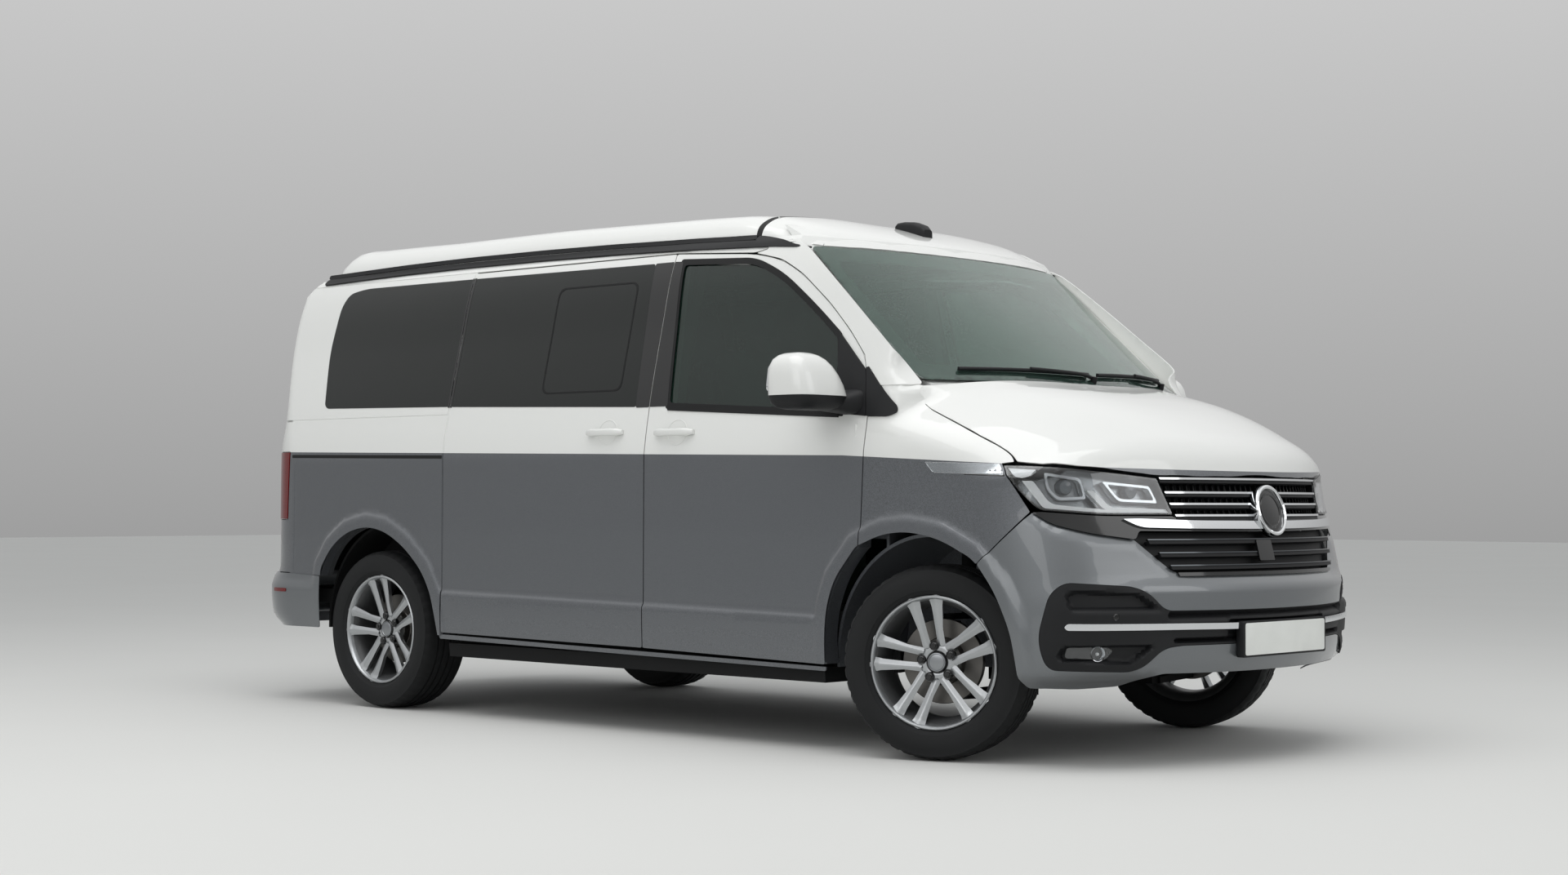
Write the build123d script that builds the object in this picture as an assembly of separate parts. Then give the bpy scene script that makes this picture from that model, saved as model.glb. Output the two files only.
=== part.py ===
"""Camper van with a pop-up roof, in millimetres.

Frame: +X forward, +Y to the left side, +Z up; the origin is on the ground at
mid-length on the centre plane.  Each piece is written as parts/NODE.step.
"""
import os
from functools import lru_cache
from math import cos, radians, sin, sqrt

from build123d import *

os.makedirs("parts", exist_ok=True)

# ---------------------------------------------------------------- driving sizes
HALF_WIDTH = 952.0            # body side at the waist
FRONT_X, REAR_X = 2446.0, -2452.0
FRONT_AXLE_X, REAR_AXLE_X = 1544.0, -1456.0
WALL = 65.0                   # a door or side wall, skin to lining
ROOF_WALL = 40.0
BONNET_WALL = 30.0
LAMP_DEPTH = 90.0
GRILLE_DEPTH = 45.0
SHUT_GAP = 8.0                # between panels
GLASS_SINK, GLASS_T = 4.0, 5.0
FIT = 0.3                     # seated pieces that do not move apart
PIN_FIT = 0.05                # radial clearance of a pin in its bore

SILL_Z, FLOOR_Z, FLOOR_T = 245.0, 500.0, 60.0
BELT_Z, CANT_Z = 1231.0, 1852.0
SCREEN_BASE_Z, SCREEN_TOP_Z = 1322.0, 1836.0
SCREEN_BASE_X = 1650.0        # its base on the centre plane
COWL_WIDTH = 30.0             # from the windscreen's base to the bonnet's rear edge

NOSE_PLAN_R = 1500.0          # plan radius of the bumper
TAIL_PLAN_R = 6000.0
CORNER_R, REAR_CORNER_R = 330.0, 350.0
BONNET_CROWN = 244.0          # fall of the bonnet from the centre to the side
SCREEN_BOW = 194.0            # plan bow of the windscreen at SCREEN_HALF
SCREEN_HALF = 778.0
SECTION_Y = (0.0, 360.0, 640.0, 797.0, 890.0, HALF_WIDTH)

TYRE_R, TYRE_W = 338.0, 235.0
RIM_SEAT_R, RIM_LIP_R = 219.0, 231.0
RIM_W = 202.0
WHEEL_Y, KINGPIN_Y = 816.0, 750.0
STEER_REST = 19.1             # degrees, both front wheels turned to the left
SPINDLE_R, KINGPIN_R = 20.0, 12.0

DOOR_AXIS_X, DOOR_AXIS_Y = 1275.0, 940.0
DOOR_PIN_R, DOOR_PIN_H = 5.0, 90.0
DOOR_HINGE_Z = (820.0, 1120.0)
TAILGATE_AXIS_X, TAILGATE_AXIS_Z = -2190.0, 1842.0
TAILGATE_ROLL_R = 45.0        # the tailgate's rolled top edge, about its hinge
TAILGATE_ARM_Y = 500.0
BONNET_AXIS_X, BONNET_AXIS_Z = 1395.0, 1335.0
BONNET_LUG_Y = 794.0
POP_AXIS_X, POP_AXIS_Z = -2058.0, 1890.0
POP_ARM_Y = 480.0
HINGE_PIN_R = 6.0             # tailgate and bonnet
POP_PIN_R = 5.0

HOUSE_T = 12.0                # wheelhouse panel
HOUSE_OUT_Y = HALF_WIDTH - WALL - 15.0
FRONT_HOUSE = (1566.0, 345.0, 425.0)      # wheelhouse centre x, height, radius
REAR_HOUSE = (-1426.0, 345.0, 440.0)
FRONT_HOUSE_Y, REAR_HOUSE_Y = 498.0, 688.0
SCREEN_TOP_HALF = 690.0
POST_IN_Y, POST_TOP_IN_Y = 802.0, 745.0   # inner faces of the door's hinge post
LOCK_POST_TOP_Y = 655.0       # the lock post ends here under the roof
WING_IN_Y = 812.0             # the wing's top flange ends here
RING_LOW, RING_TOP = CANT_Z + 4.0, 1872.0 # fixed roof ring under the pop-up roof
RING_HALF = 650.0
SHELL_LOW = 1884.0
POP_REAR_X = -2080.0
TOW_BORE_R = 12.0             # for the shank of a towing eye
TOW_FRONT, TOW_REAR = (-400.0, 470.0), (-500.0, 450.0)      # y, height
DASH_HALF = 770.0
STEERING_TILT = 28.0          # of the steering wheel's axis, in degrees

# body section: columns height, half width, kept in the lining (1) or not (0)
SIDE_SECTION = [
    (243, 930, 1), (330, 948, 0), (500, HALF_WIDTH, 1), (1060, HALF_WIDTH, 1), (1100, 948, 0),
    (BELT_Z, 927, 1), (1530, 862, 1), (1828, 784, 1), (1868, 762, 0), (1884, 744, 0), (1950, 722, 1),
    (1985, 640, 0), (2002, 330, 1), (2008, 0, 1)]

# side profile on the centre plane: columns x, height, share of the nose bow, of the tail bow, of the
# screen bow and of the bonnet's fall, kept in the lining (1) or not (0)
PROFILE = [
    (2300, 282, 1.0, 0.0, 0.0, 0.0, 1), (2415, 318, 1.0, 0.0, 0.0, 0.0, 0), (2440, 405, 1.0, 0.0, 0.0, 0.0, 0),
    (FRONT_X, 524, 1.0, 0.0, 0.0, 0.0, 1), (2424, 648, 1.0, 0.0, 0.0, 0.0, 0), (2385, 800, 1.0, 0.0, 0.0, 0.0, 1),
    (2352, 890, 0.97, 0.0, 0.0, 0.0, 0), (2329, 979, 0.93, 0.0, 0.0, 0.1, 1), (2308, 1040, 0.85, 0.0, 0.0, 0.3, 0),
    (2262, 1095, 0.75, 0.0, 0.0, 0.5, 0), (2160, 1155, 0.6, 0.0, 0.0, 0.7, 1), (1900, 1262, 0.2, 0.0, 0.0, 0.9, 1),
    (1650, 1325, 0.0, 0.0, 1.0, 0.0, 1), (990, 1836, 0.0, 0.0, 0.64, 0.0, 1), (960, 1880, 0.0, 0.0, 0.64, 0.0, 0),
    (840, 1925, 0.0, 0.0, 0.5, 0.0, 0), (640, 1975, 0.0, 0.0, 0.3, 0.0, 1), (450, 2000, 0.0, 0.0, 0.0, 0.0, 0),
    (-480, 2008, 0.0, 0.0, 0.0, 0.0, 1), (-1900, 1992, 0.0, 0.0, 0.0, 0.0, 0), (-1995, 1975, 0.0, 0.0, 0.0, 0.0, 1),
    (-2080, 1884, 0.0, 0.0, 0.0, 0.0, 1), (-2195, 1872, 0.0, 1.0, 0.0, 0.0, 1), (-2262, 1815, 0.0, 1.0, 0.0, 0.0, 0),
    (-2366, 1240, 0.0, 1.0, 0.0, 0.0, 1),
    (-2396, 1110, 0.0, 1.0, 0.0, 0.0, 0), (-2402, 575, 0.0, 1.0, 0.0, 0.0, 1), (-2440, 562, 0.0, 1.0, 0.0, 0.0, 0),
    (REAR_X, 490, 0.0, 1.0, 0.0, 0.0, 0), (-2436, 385, 0.0, 1.0, 0.0, 0.0, 0), (-2360, 330, 0.0, 1.0, 0.0, 0.0, 1)]
LINING_FROM = 20.0            # an inset over this follows only the rows kept in the lining
LINING_FOOT_Z = 60.0          # the lining runs out through the bottom


def plan_bow(y, radius, corner):
    """How far a body end lies behind its centre, at y from the centre plane."""
    centre_y = HALF_WIDTH - corner
    centre_x = sqrt((radius - corner) ** 2 - centre_y ** 2) - radius
    knee = radius * centre_y / (radius - corner)
    y = min(abs(y), HALF_WIDTH - 0.5)
    if y <= knee:
        return radius - sqrt(radius ** 2 - y ** 2)
    return -(centre_x + sqrt(max(corner ** 2 - (y - centre_y) ** 2, 0.0)))


def side_profile(y, inset):
    """Closed outline of the body in the plane at y, moved inwards by the inset."""
    nose = plan_bow(y, NOSE_PLAN_R, CORNER_R)
    tail = plan_bow(y, TAIL_PLAN_R, REAR_CORNER_R)
    screen = SCREEN_BOW * (y / SCREEN_HALF) ** 2
    fall = BONNET_CROWN * (abs(y) / HALF_WIDTH) ** 4
    points = []
    for x, z, nose_share, tail_share, screen_share, fall_share, lining in PROFILE:
        if lining or inset < LINING_FROM:
            if inset >= LINING_FROM and z < 350:
                z = LINING_FOOT_Z
            points.append((x - nose_share * nose + tail_share * tail - screen_share * screen,
                           z - fall_share * fall))
    return inset_outline(points, inset) if inset else points


def inset_outline(points, inset):
    """Move each corner of a counter-clockwise outline inwards by the inset."""
    moved = []
    count = len(points)
    for i in range(count):
        (x0, z0), (x1, z1), (x2, z2) = points[i - 1], points[i], points[(i + 1) % count]
        ax, az = x1 - x0, z1 - z0
        bx, bz = x2 - x1, z2 - z1
        la, lb = sqrt(ax * ax + az * az), sqrt(bx * bx + bz * bz)
        nax, naz, nbx, nbz = -az / la, ax / la, -bz / lb, bx / lb
        scale = inset / (1 + nax * nbx + naz * nbz)
        moved.append((x1 + (nax + nbx) * scale, z1 + (naz + nbz) * scale))
    return moved


def flat_prism(points, vector):
    face = Face(Wire.make_polygon([Vector(*p) for p in points], close=True))
    return Part() + Solid.extrude(face, Vector(*vector))


def side_prism(outline, y0, y1):
    """An outline given in x, z, from y0 to y1."""
    return flat_prism([(x, y0, z) for x, z in outline], (0, y1 - y0, 0))


def front_prism(outline, x0, x1):
    """An outline given in y, z, from x0 to x1."""
    return flat_prism([(x0, y, z) for y, z in outline], (x1 - x0, 0, 0))


def block(x0, x1, y0, y1, z0, z1):
    return Part() + Pos((x0 + x1) / 2, (y0 + y1) / 2, (z0 + z1) / 2) * Box(x1 - x0, y1 - y0, z1 - z0)


@lru_cache
def hull(inset=0.0):
    """The body's outer form, or the same form moved inwards."""
    shrink = (HALF_WIDTH - inset) / HALF_WIDTH
    sections = []
    for y in [-s for s in SECTION_Y[:0:-1]] + list(SECTION_Y):
        outline = side_profile(y, inset)
        sections.append(Wire.make_polygon([Vector(x, y * shrink, z) for x, z in outline], close=True))
    long_form = Part() + Solid.make_loft(sections, ruled=True)
    half = inset_section(inset)
    ring = [(y, z) for z, y in half] + [(-y, z) for z, y in half[-2::-1]]
    return long_form & front_prism(ring, REAR_X - 50, FRONT_X + 50)


def inset_section(inset):
    """The body section moved inwards, as height and half width."""
    half = [(z, y) for z, y, lining in SIDE_SECTION if lining or inset < LINING_FROM]
    if not inset:
        return half
    ring = [(y, z) for z, y in half] + [(-y, z) for z, y in half[-2::-1]]
    moved = [(z, y) for y, z in inset_outline(ring, inset)[:len(half)]]
    foot = LINING_FOOT_Z if inset >= LINING_FROM else half[0][0]
    return [(foot, moved[0][1])] + moved[1:]


def arch_prism(points, y0, y1):
    """A wheel arch from seven points: three arcs, closed along the ground."""
    at = [Vector(x, y0, z) for x, z in points]
    edges = [Edge.make_three_point_arc(at[i], at[i + 1], at[i + 2]) for i in (0, 2, 4)]
    ends = [Vector(at[-1].X, y0, 0), Vector(at[0].X, y0, 0)]
    edges += [Edge.make_line(at[-1], ends[0]), Edge.make_line(ends[0], ends[1]),
              Edge.make_line(ends[1], at[0])]
    return Part() + Solid.extrude(Face(Wire(edges)), Vector(0, y1 - y0, 0))


def cylinder_y(radius, x, z, y0, y1):
    return Part() + Pos(x, (y0 + y1) / 2, z) * Rot(90, 0, 0) * Cylinder(radius, abs(y1 - y0))


def cylinder_z(radius, x, y, z0, z1):
    return Part() + Pos(x, y, (z0 + z1) / 2) * Cylinder(radius, z1 - z0)


def both_sides(piece):
    """A piece and its mirror image across the centre plane."""
    return piece + mirror(piece, about=Plane.XZ)


def write(name, piece):
    """Write one node, dropping slivers that a cut may leave."""
    solids = [s for s in piece.solids() if s.volume > 300]
    export_step(solids[0] if len(solids) == 1 else Compound(solids), f"parts/{name}.step")


# ---------------------------------------------------------------- outlines, as x, height
FRONT_ARCH = [(1146, 300), (1157, 516), (1293, 727), (1516, 786), (1790, 708), (1950, 510), (1995, 279)]
REAR_ARCH = [(-1828, 300), (-1818, 597), (-1640, 752), (-1508, 780), (-1241, 698), (-1073, 508), (-1015, 300)]
DOOR_LINE = [(1304, 735), (1317, 992), (1323, 1131), (1326, 1194), (1297, 1341), (1273, 1412),
             (1189, 1502), (1071, 1609), (909, 1729), (790, 1790), (644, 1823)]
DOOR = [(211, 329), (1304, 307)] + DOOR_LINE + [(211, CANT_Z)]
SLIDING = [(-994, 342), (211, 329), (211, CANT_Z), (-994, CANT_Z)]
BONNET_LINE = [(1908, 1030), (1793, 1098), (1550, 1205), (1419, 1303)]
LAMP = [(2008, 860), (2300, 840), (2500, 838), (2500, 977), (2266, 977), (1903, 1016)]
STRIP = [(1600, 1027), (1622, 1001), (1950, 982), (1903, 1020)]
WING = ([(1304, 600), (1870, 600), (1906, 747), (2008, 860), (1903, 1018)] + BONNET_LINE
        + [(1390, 1316), (1302, 1316)] + DOOR_LINE[3::-1])
BONNET = [(2500, 981), (2500, 1340), (1419, 1340)] + BONNET_LINE[::-1] + [(2266, 981)]
FRONT_BUMPER = [(1950, 200), (2600, 200), (2600, 824), (2300, 836), (2008, 856), (1906, 747), (1860, 600), (1860, 200)]
REAR_BUMPER = [(-1700, 200), (-1700, 557), (-2085, 566), (-2600, 566), (-2600, 200)]
LEFT_WALL = [(211, 320), (211, CANT_Z + 3.7), (-2600, CANT_Z + 3.7), (-2600, 566), (-2085, 566),
             (-1700, 557), (-1700, 320)]
RIGHT_WALL = [(-994, 320), (-994, CANT_Z + 3.7), (-2600, CANT_Z + 3.7), (-2600, 566), (-2085, 566),
              (-1700, 557), (-1700, 320)]
TAIL_LAMP = [(-2071, 1106), (-2600, 1106), (-2600, 806), (-2085, 806)]
DOOR_WINDOW = [(305, 1256), (1190, 1208), (1140, 1480), (993, 1590), (809, 1716), (650, 1780), (262, 1806)]
SLIDING_WINDOW = [(-962, 1272), (130, 1255), (106, 1812), (-968, 1816)]
QUARTER_WINDOW = [(-1865, 1300), (-1030, 1286), (-1036, 1820), (-1800, 1822), (-1868, 1770), (-1896, 1560)]
SEAM_FOOT, SEAM_TOP = (834, 1842), (542, 2100)
TAILGATE_FRONT = [(790, 574), (790, 1110), (775, 1240), (700, 1900)]    # as y, height


def shrink(outline, gap=SHUT_GAP / 2):
    """An outline moved inwards by half a shut gap, whichever way round it runs."""
    area = sum(x0 * z1 - x1 * z0 for (x0, z0), (x1, z1) in zip(outline, outline[1:] + outline[:1]))
    return inset_outline(outline, gap) if area > 0 else inset_outline(outline[::-1], gap)


def symmetric(half):
    """A closed y, z outline from its right-hand points."""
    return half + [(-y, z) for y, z in half[::-1]]


SIDE = (600.0, 1000.0)        # the side panels lie between these distances from the centre plane
WIDE = (-1000.0, 1000.0)


def side_panel(skin, outline):
    """The right-hand panel of a skin inside a side outline."""
    return skin & side_prism(shrink(outline), -SIDE[1], -SIDE[0])


# ---------------------------------------------------------------- body skins
OUTER = hull()
SHELL = OUTER - hull(WALL)
ROOF_SKIN = OUTER - hull(ROOF_WALL)
BONNET_SKIN = OUTER - hull(BONNET_WALL)
GLASS_SKIN = hull(GLASS_SINK) - hull(GLASS_SINK + GLASS_T)
LAMP_SKIN = OUTER - hull(LAMP_DEPTH)
GRILLE_SKIN = OUTER - hull(GRILLE_DEPTH)
FRONT_CUT = arch_prism(FRONT_ARCH, -1000, -500)
REAR_CUT = arch_prism(REAR_ARCH, -1000, -500)


def window(outline, edge=0.0):
    """A window's opening, or its pane's edge drawn in by the seal."""
    return side_prism(shrink(outline, edge) if edge else outline, -SIDE[1], -SIDE[0])


def hinge_stack(x, y, z):
    return cylinder_z(DOOR_PIN_R, x, y, z - DOOR_PIN_H / 2, z + DOOR_PIN_H / 2)


def make_door():
    door = side_panel(SHELL, DOOR) - FRONT_CUT - window(DOOR_WINDOW)
    for z in DOOR_HINGE_Z:
        notch = block(DOOR_AXIS_X - 16, 1400, -DOOR_AXIS_Y - 9.5, -800, z - 15, z + 15)
        bore = cylinder_z(DOOR_PIN_R + PIN_FIT, DOOR_AXIS_X, -DOOR_AXIS_Y, z - DOOR_PIN_H / 2 - 5,
                          z + DOOR_PIN_H / 2 + 5)
        door -= notch + bore
    return door


def make_door_glass(outline):
    return GLASS_SKIN & window(outline, FIT)


def make_mirror():
    """Wing mirror: foot on the door's corner, arm and housing."""
    foot = side_prism([(1150, 1205), (1310, 1195), (1285, 1330), (1200, 1400), (1150, 1420)], -1000, -800)
    foot = (hull(-12) - OUTER) & foot
    arm = front_prism([(-935, 1215), (-1010, 1225), (-1010, 1260), (-925, 1275)], 1185, 1265)
    arm -= OUTER
    body = front_prism([(-985, 1215), (-1195, 1225), (-1217, 1260), (-1212, 1360), (-1180, 1405),
                        (-1050, 1413), (-990, 1380), (-970, 1280)], 1130, 1240)
    body = fillet(body.edges().filter_by(Axis.X), 12)
    return foot + arm + body


def make_wing():
    wing = SHELL & side_prism(shrink(WING), -1000, -WING_IN_Y)
    return wing - FRONT_CUT - side_prism(STRIP, -1000, -600)


def make_side_wall(outline, windows):
    wall = SHELL & side_prism(shrink(outline, 0.001), -1000, -400)
    wall -= REAR_CUT
    tail = front_prism(symmetric([(y + SHUT_GAP, z) for y, z in TAILGATE_FRONT]), -2600, -2150)
    wall -= tail + block(-2600, -1900, -701, 0, 1700, 1900)
    wall -= side_prism(TAIL_LAMP, -1000, -600)
    for outline in windows:
        wall -= window(outline)
    return wall


# ---------------------------------------------------------------- build
door = make_door()
write("door_right", door)
write("door_left", mirror(door, about=Plane.XZ))
pane = make_door_glass(DOOR_WINDOW)
write("door_glass_right", pane)
write("door_glass_left", mirror(pane, about=Plane.XZ))
mirror_piece = make_mirror()
write("mirror_right", mirror_piece)
write("mirror_left", mirror(mirror_piece, about=Plane.XZ))

write("front_wings", both_sides(make_wing()))
write("side_wall_right", make_side_wall(RIGHT_WALL, [QUARTER_WINDOW]))
write("side_wall_left", mirror(make_side_wall(LEFT_WALL, [QUARTER_WINDOW, SLIDING_WINDOW]), about=Plane.XZ))

sliding = side_panel(SHELL, SLIDING) - window(SLIDING_WINDOW) - REAR_CUT
sliding += block(20, 120, -HALF_WIDTH + WALL - 10, -HOUSE_OUT_Y + 40, FLOOR_Z + FIT, FLOOR_Z + 14)
write("sliding_door", sliding)
quarter_pane, sliding_pane = make_door_glass(QUARTER_WINDOW), make_door_glass(SLIDING_WINDOW)
write("side_glass", both_sides(quarter_pane) + both_sides(sliding_pane))


# ---------------------------------------------------------------- fixed body
def screen_zone(edge):
    """The windscreen's outline seen from the front, drawn in by an edge."""
    low, high = SCREEN_BASE_Z + edge, SCREEN_TOP_Z - edge
    return front_prism(symmetric([(SCREEN_HALF - edge, low), (SCREEN_TOP_HALF - edge, high)]), 700, 1800)


def behind_screen_base(ahead):
    """All that lies behind a line this far ahead of the windscreen's bowed base."""
    rows = [y / 8 * HALF_WIDTH for y in range(-8, 9)]
    edge = [(SCREEN_BASE_X + ahead - SCREEN_BOW * (y / SCREEN_HALF) ** 2, y, 1200) for y in rows]
    return flat_prism(edge + [(1200, HALF_WIDTH, 1200), (1200, -HALF_WIDTH, 1200)], (0, 0, 300))


def make_cab_frame():
    """Windscreen pillars, hinge and lock posts, bulkhead, cowl and front wheelhouses, with the hinge pins."""
    pillar_outline = ([(1299, 1320), (1760, 1320), (1760, 1845.7), (700, 1845.7), (700, 1816)]
                      + DOOR_LINE[:3:-1])
    pillar = SHELL & side_prism(shrink(pillar_outline), -1000, 0)
    pillar -= screen_zone(0)
    slot = block(BONNET_AXIS_X - 20, 1520, -BONNET_LUG_Y - 12, -BONNET_LUG_Y + 12, 1300, BONNET_AXIS_Z + 40)
    pillar -= slot
    pillar += cylinder_y(HINGE_PIN_R, BONNET_AXIS_X, BONNET_AXIS_Z, -BONNET_LUG_Y - 24, -BONNET_LUG_Y + 11)
    lining = hull(WALL + 6)
    post = (lining - hull(WALL + 60)) & side_prism(
        [(150, FLOOR_Z), (270, FLOOR_Z), (270, 1846), (150, 1846)], -1000, -LOCK_POST_TOP_Y)
    hinge_post = hull(WALL + 25) & side_prism(
        [(1235, 760), (1372, 760), (1372, 1400), (1300, 1400), (1235, 1330)], -1000, -POST_IN_Y)
    hinge_post += hull(WALL - 5) & side_prism(
        [(1345, 1330), (1400, 1330), (1400, 1420), (1345, 1420)], -1000, -POST_TOP_IN_Y)
    right = pillar + post + hinge_post
    for z in DOOR_HINGE_Z:
        right += block(DOOR_AXIS_X - 8, DOOR_AXIS_X + 8, -DOOR_AXIS_Y, -855, z - 5, z + 5)
        right += cylinder_z(8, DOOR_AXIS_X, -DOOR_AXIS_Y, z - 5, z + 5) + hinge_stack(DOOR_AXIS_X, -DOOR_AXIS_Y, z)
    house = arch_tunnel(FRONT_HOUSE, -HOUSE_OUT_Y, -FRONT_HOUSE_Y, 300) & hull(WALL + FIT)
    right += house
    frame = both_sides(right)
    inner = HOUSE_OUT_Y
    bulkhead = block(1360, 1372, -inner, inner, FLOOR_Z, 1290) & hull(WALL + 6)
    bulkhead -= both_sides(arch_void(FRONT_HOUSE, -1000, -FRONT_HOUSE_Y))
    cowl = (hull(36) - hull(75)) & block(1300, 1720, -775, 775, 1250, 1340)
    cowl += (hull(GLASS_SINK + GLASS_T + FIT) - hull(75)) & block(1300, 1720, -770, 770, 1324, 1345)
    strip = (hull(8) - hull(40)) & behind_screen_base(COWL_WIDTH - SHUT_GAP) & block(1400, 1720, -775, 775, 1250, 1321)
    cowl += strip
    shelf = block(1360, 1600, -775, 775, 1230, 1262) & hull(75 - 1)
    return frame + bulkhead + cowl + shelf


def arch_void(house, y0, y1):
    x, z, radius = house
    return cylinder_y(radius, x, z, y0, y1) + block(x - radius, x + radius, y0, y1, 0, z)


def arch_tunnel(house, y0, y1, low):
    """A wheelhouse: a half-round tunnel with its inner wall, open below and outwards."""
    x, z, radius = house
    outer = arch_void((x, z, radius + HOUSE_T), y0, y1 + HOUSE_T)
    return (outer - arch_void(house, y0 - 10, y1)) & block(-3000, 3000, -1000, 0, low, 2000)


write("cab_frame", make_cab_frame())


def cap_zone(gap):
    x = -gap
    return side_prism([(SEAM_FOOT[0] + x, SEAM_FOOT[1]), (1800, SEAM_FOOT[1]), (1800, SEAM_TOP[1]),
                       (SEAM_TOP[0] + x, SEAM_TOP[1])], *WIDE)



def make_roof_frame():
    """Fixed roof ring round the pop-up opening, front cap over the screen, rear header with its hinge pins."""
    ring = OUTER & block(-2600, 800, *WIDE, RING_LOW, RING_TOP)
    ring -= block(-1950, 640, -RING_HALF, RING_HALF, 1800, 1950)
    cap = (OUTER - hull(ROOF_WALL)) & cap_zone(0) & block(0, 1800, *WIDE, SCREEN_TOP_Z + 6, 2100)
    brow = OUTER & cap_zone(0) & block(0, 1800, *WIDE, SCREEN_TOP_Z + 6, RING_TOP)
    brow -= block(0, 860, -RING_HALF, RING_HALF, 1800, 1900) + (hull(110) & block(0, 2000, *WIDE, 1800, 1900))
    header = OUTER & block(-2600, POP_REAR_X + 60, *WIDE, 1790, RING_TOP)
    header -= hull(WALL) & block(-2600, POP_REAR_X + 40, *WIDE, 1700, 1856)
    header = header & block(-2600, 0, -760, 760, 1790, 1900)
    frame = ring + cap + brow + header
    frame -= tailgate_zone(SHUT_GAP)
    frame -= block(-2400, POP_REAR_X + 60, -1000, -701, 1700, RING_LOW) + block(-2400, POP_REAR_X + 60, 701, 1000, 1700, RING_LOW)
    for side in (-1, 1):
        y = side * TAILGATE_ARM_Y
        frame += block(TAILGATE_AXIS_X, -2125, y - 6, y + 6, TAILGATE_AXIS_Z - 8, TAILGATE_AXIS_Z + 8)
        frame += cylinder_y(HINGE_PIN_R + 2, TAILGATE_AXIS_X, TAILGATE_AXIS_Z, y - 6, y + 6)
        frame += cylinder_y(HINGE_PIN_R, TAILGATE_AXIS_X, TAILGATE_AXIS_Z, y - 35, y + 35)
        y = side * POP_ARM_Y
        frame += block(POP_AXIS_X - 7, POP_AXIS_X + 7, y - 6, y + 6, RING_TOP - 6, POP_AXIS_Z)
        frame += cylinder_y(7, POP_AXIS_X, POP_AXIS_Z, y - 6, y + 6)
        frame += cylinder_y(POP_PIN_R, POP_AXIS_X, POP_AXIS_Z, y - 30, y + 30)
    return frame


def tailgate_zone(gap):
    """All that lies behind the rear opening's edge, and the roll about the tailgate's hinge."""
    outline = symmetric([(y + gap, z - (gap if z < 600 else 0)) for y, z in TAILGATE_FRONT])
    zone = front_prism(outline, -2600, TAILGATE_AXIS_X)
    half = TAILGATE_FRONT[-1][0] + gap
    return zone + cylinder_y(TAILGATE_ROLL_R + gap, TAILGATE_AXIS_X, TAILGATE_AXIS_Z, -half, half)


write("roof_frame", make_roof_frame())


def make_tailgate():
    thick = OUTER - hull(WALL)
    gate = thick & tailgate_zone(0)
    gate += OUTER & cylinder_y(TAILGATE_ROLL_R, TAILGATE_AXIS_X, TAILGATE_AXIS_Z, -700, 700)
    gate = gate & front_prism(symmetric(TAILGATE_FRONT), -2600, -2100)
    gate -= rear_window(0)
    for side in (-1, 1):
        y = side * TAILGATE_ARM_Y
        gate -= block(TAILGATE_AXIS_X - 14, -2100, y - 12, y + 12, TAILGATE_AXIS_Z - 14, 1950)
        gate -= cylinder_y(HINGE_PIN_R + PIN_FIT, TAILGATE_AXIS_X, TAILGATE_AXIS_Z, y - 38, y + 38)
    return gate


def rear_window(edge):
    half_low, half_high = 690 - edge, 620 - edge
    return front_prism(symmetric([(half_low, 1250 + edge), (half_high, 1770 - edge)]), -2600, -2180)


write("tailgate", make_tailgate())
write("tailgate_glass", GLASS_SKIN & rear_window(FIT))


def make_roof_shell():
    zone = side_prism([(POP_REAR_X - 20, SHELL_LOW), (SEAM_FOOT[0] - 47 - SHUT_GAP, SHELL_LOW),
                       (SEAM_TOP[0] - SHUT_GAP, SEAM_TOP[1]), (POP_REAR_X - 20, SEAM_TOP[1])], *WIDE)
    shell = ROOF_SKIN & zone
    shell += OUTER & zone & block(-2200, -2030, *WIDE, SHELL_LOW, 2100)
    for side in (-1, 1):
        y = side * POP_ARM_Y
        shell -= block(-2110, POP_AXIS_X + 22, y - 12, y + 12, 1800, POP_AXIS_Z + 16)
        shell -= cylinder_y(POP_PIN_R + PIN_FIT, POP_AXIS_X, POP_AXIS_Z, y - 33, y + 33)
    return shell


write("roof_shell", make_roof_shell())
tent = block(-1980, 665, -690, 690, RING_TOP + FIT, 1892) - block(-1952, 642, -652, 652, 1800, 1950)
write("roof_tent", tent)

rail = front_prism([(-752, RING_TOP + 0.3), (-797, RING_TOP - 34), (-801, RING_TOP - 20), (-786, RING_TOP + 8), (-756, RING_TOP + 8)], -2056, 900)
rail -= hull(-0.3)
write("roof_rails", both_sides(rail))


def make_bonnet():
    zone = side_prism(shrink(BONNET), *WIDE)
    panel = (BONNET_SKIN & zone) - behind_screen_base(COWL_WIDTH)
    for side in (-1, 1):
        lug = side_prism([(BONNET_AXIS_X, BONNET_AXIS_Z + 12), (BONNET_AXIS_X - 12, BONNET_AXIS_Z),
                          (BONNET_AXIS_X - 3, BONNET_AXIS_Z - 14), (1440, 1290), (1500, 1262), (1560, 1252),
                          (1520, 1283), (1470, 1300), (1440, 1316), (BONNET_AXIS_X + 12, BONNET_AXIS_Z + 4)],
                         side * BONNET_LUG_Y - 6, side * BONNET_LUG_Y + 6)
        panel += lug
        panel -= cylinder_y(HINGE_PIN_R + PIN_FIT, BONNET_AXIS_X, BONNET_AXIS_Z,
                            side * BONNET_LUG_Y - 20, side * BONNET_LUG_Y + 20)
    return panel


write("bonnet", make_bonnet())
write("windscreen", GLASS_SKIN & screen_zone(FIT))

LOWER_OPEN = symmetric([(520, 645), (655, 794)])
UPPER_OPEN = symmetric([(500, 838), (536, 977)])


def towing_bore(at, x0, x1):
    y, z = at
    return Part() + Pos((x0 + x1) / 2, y, z) * Rot(0, 90, 0) * Cylinder(TOW_BORE_R, x1 - x0)


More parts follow.
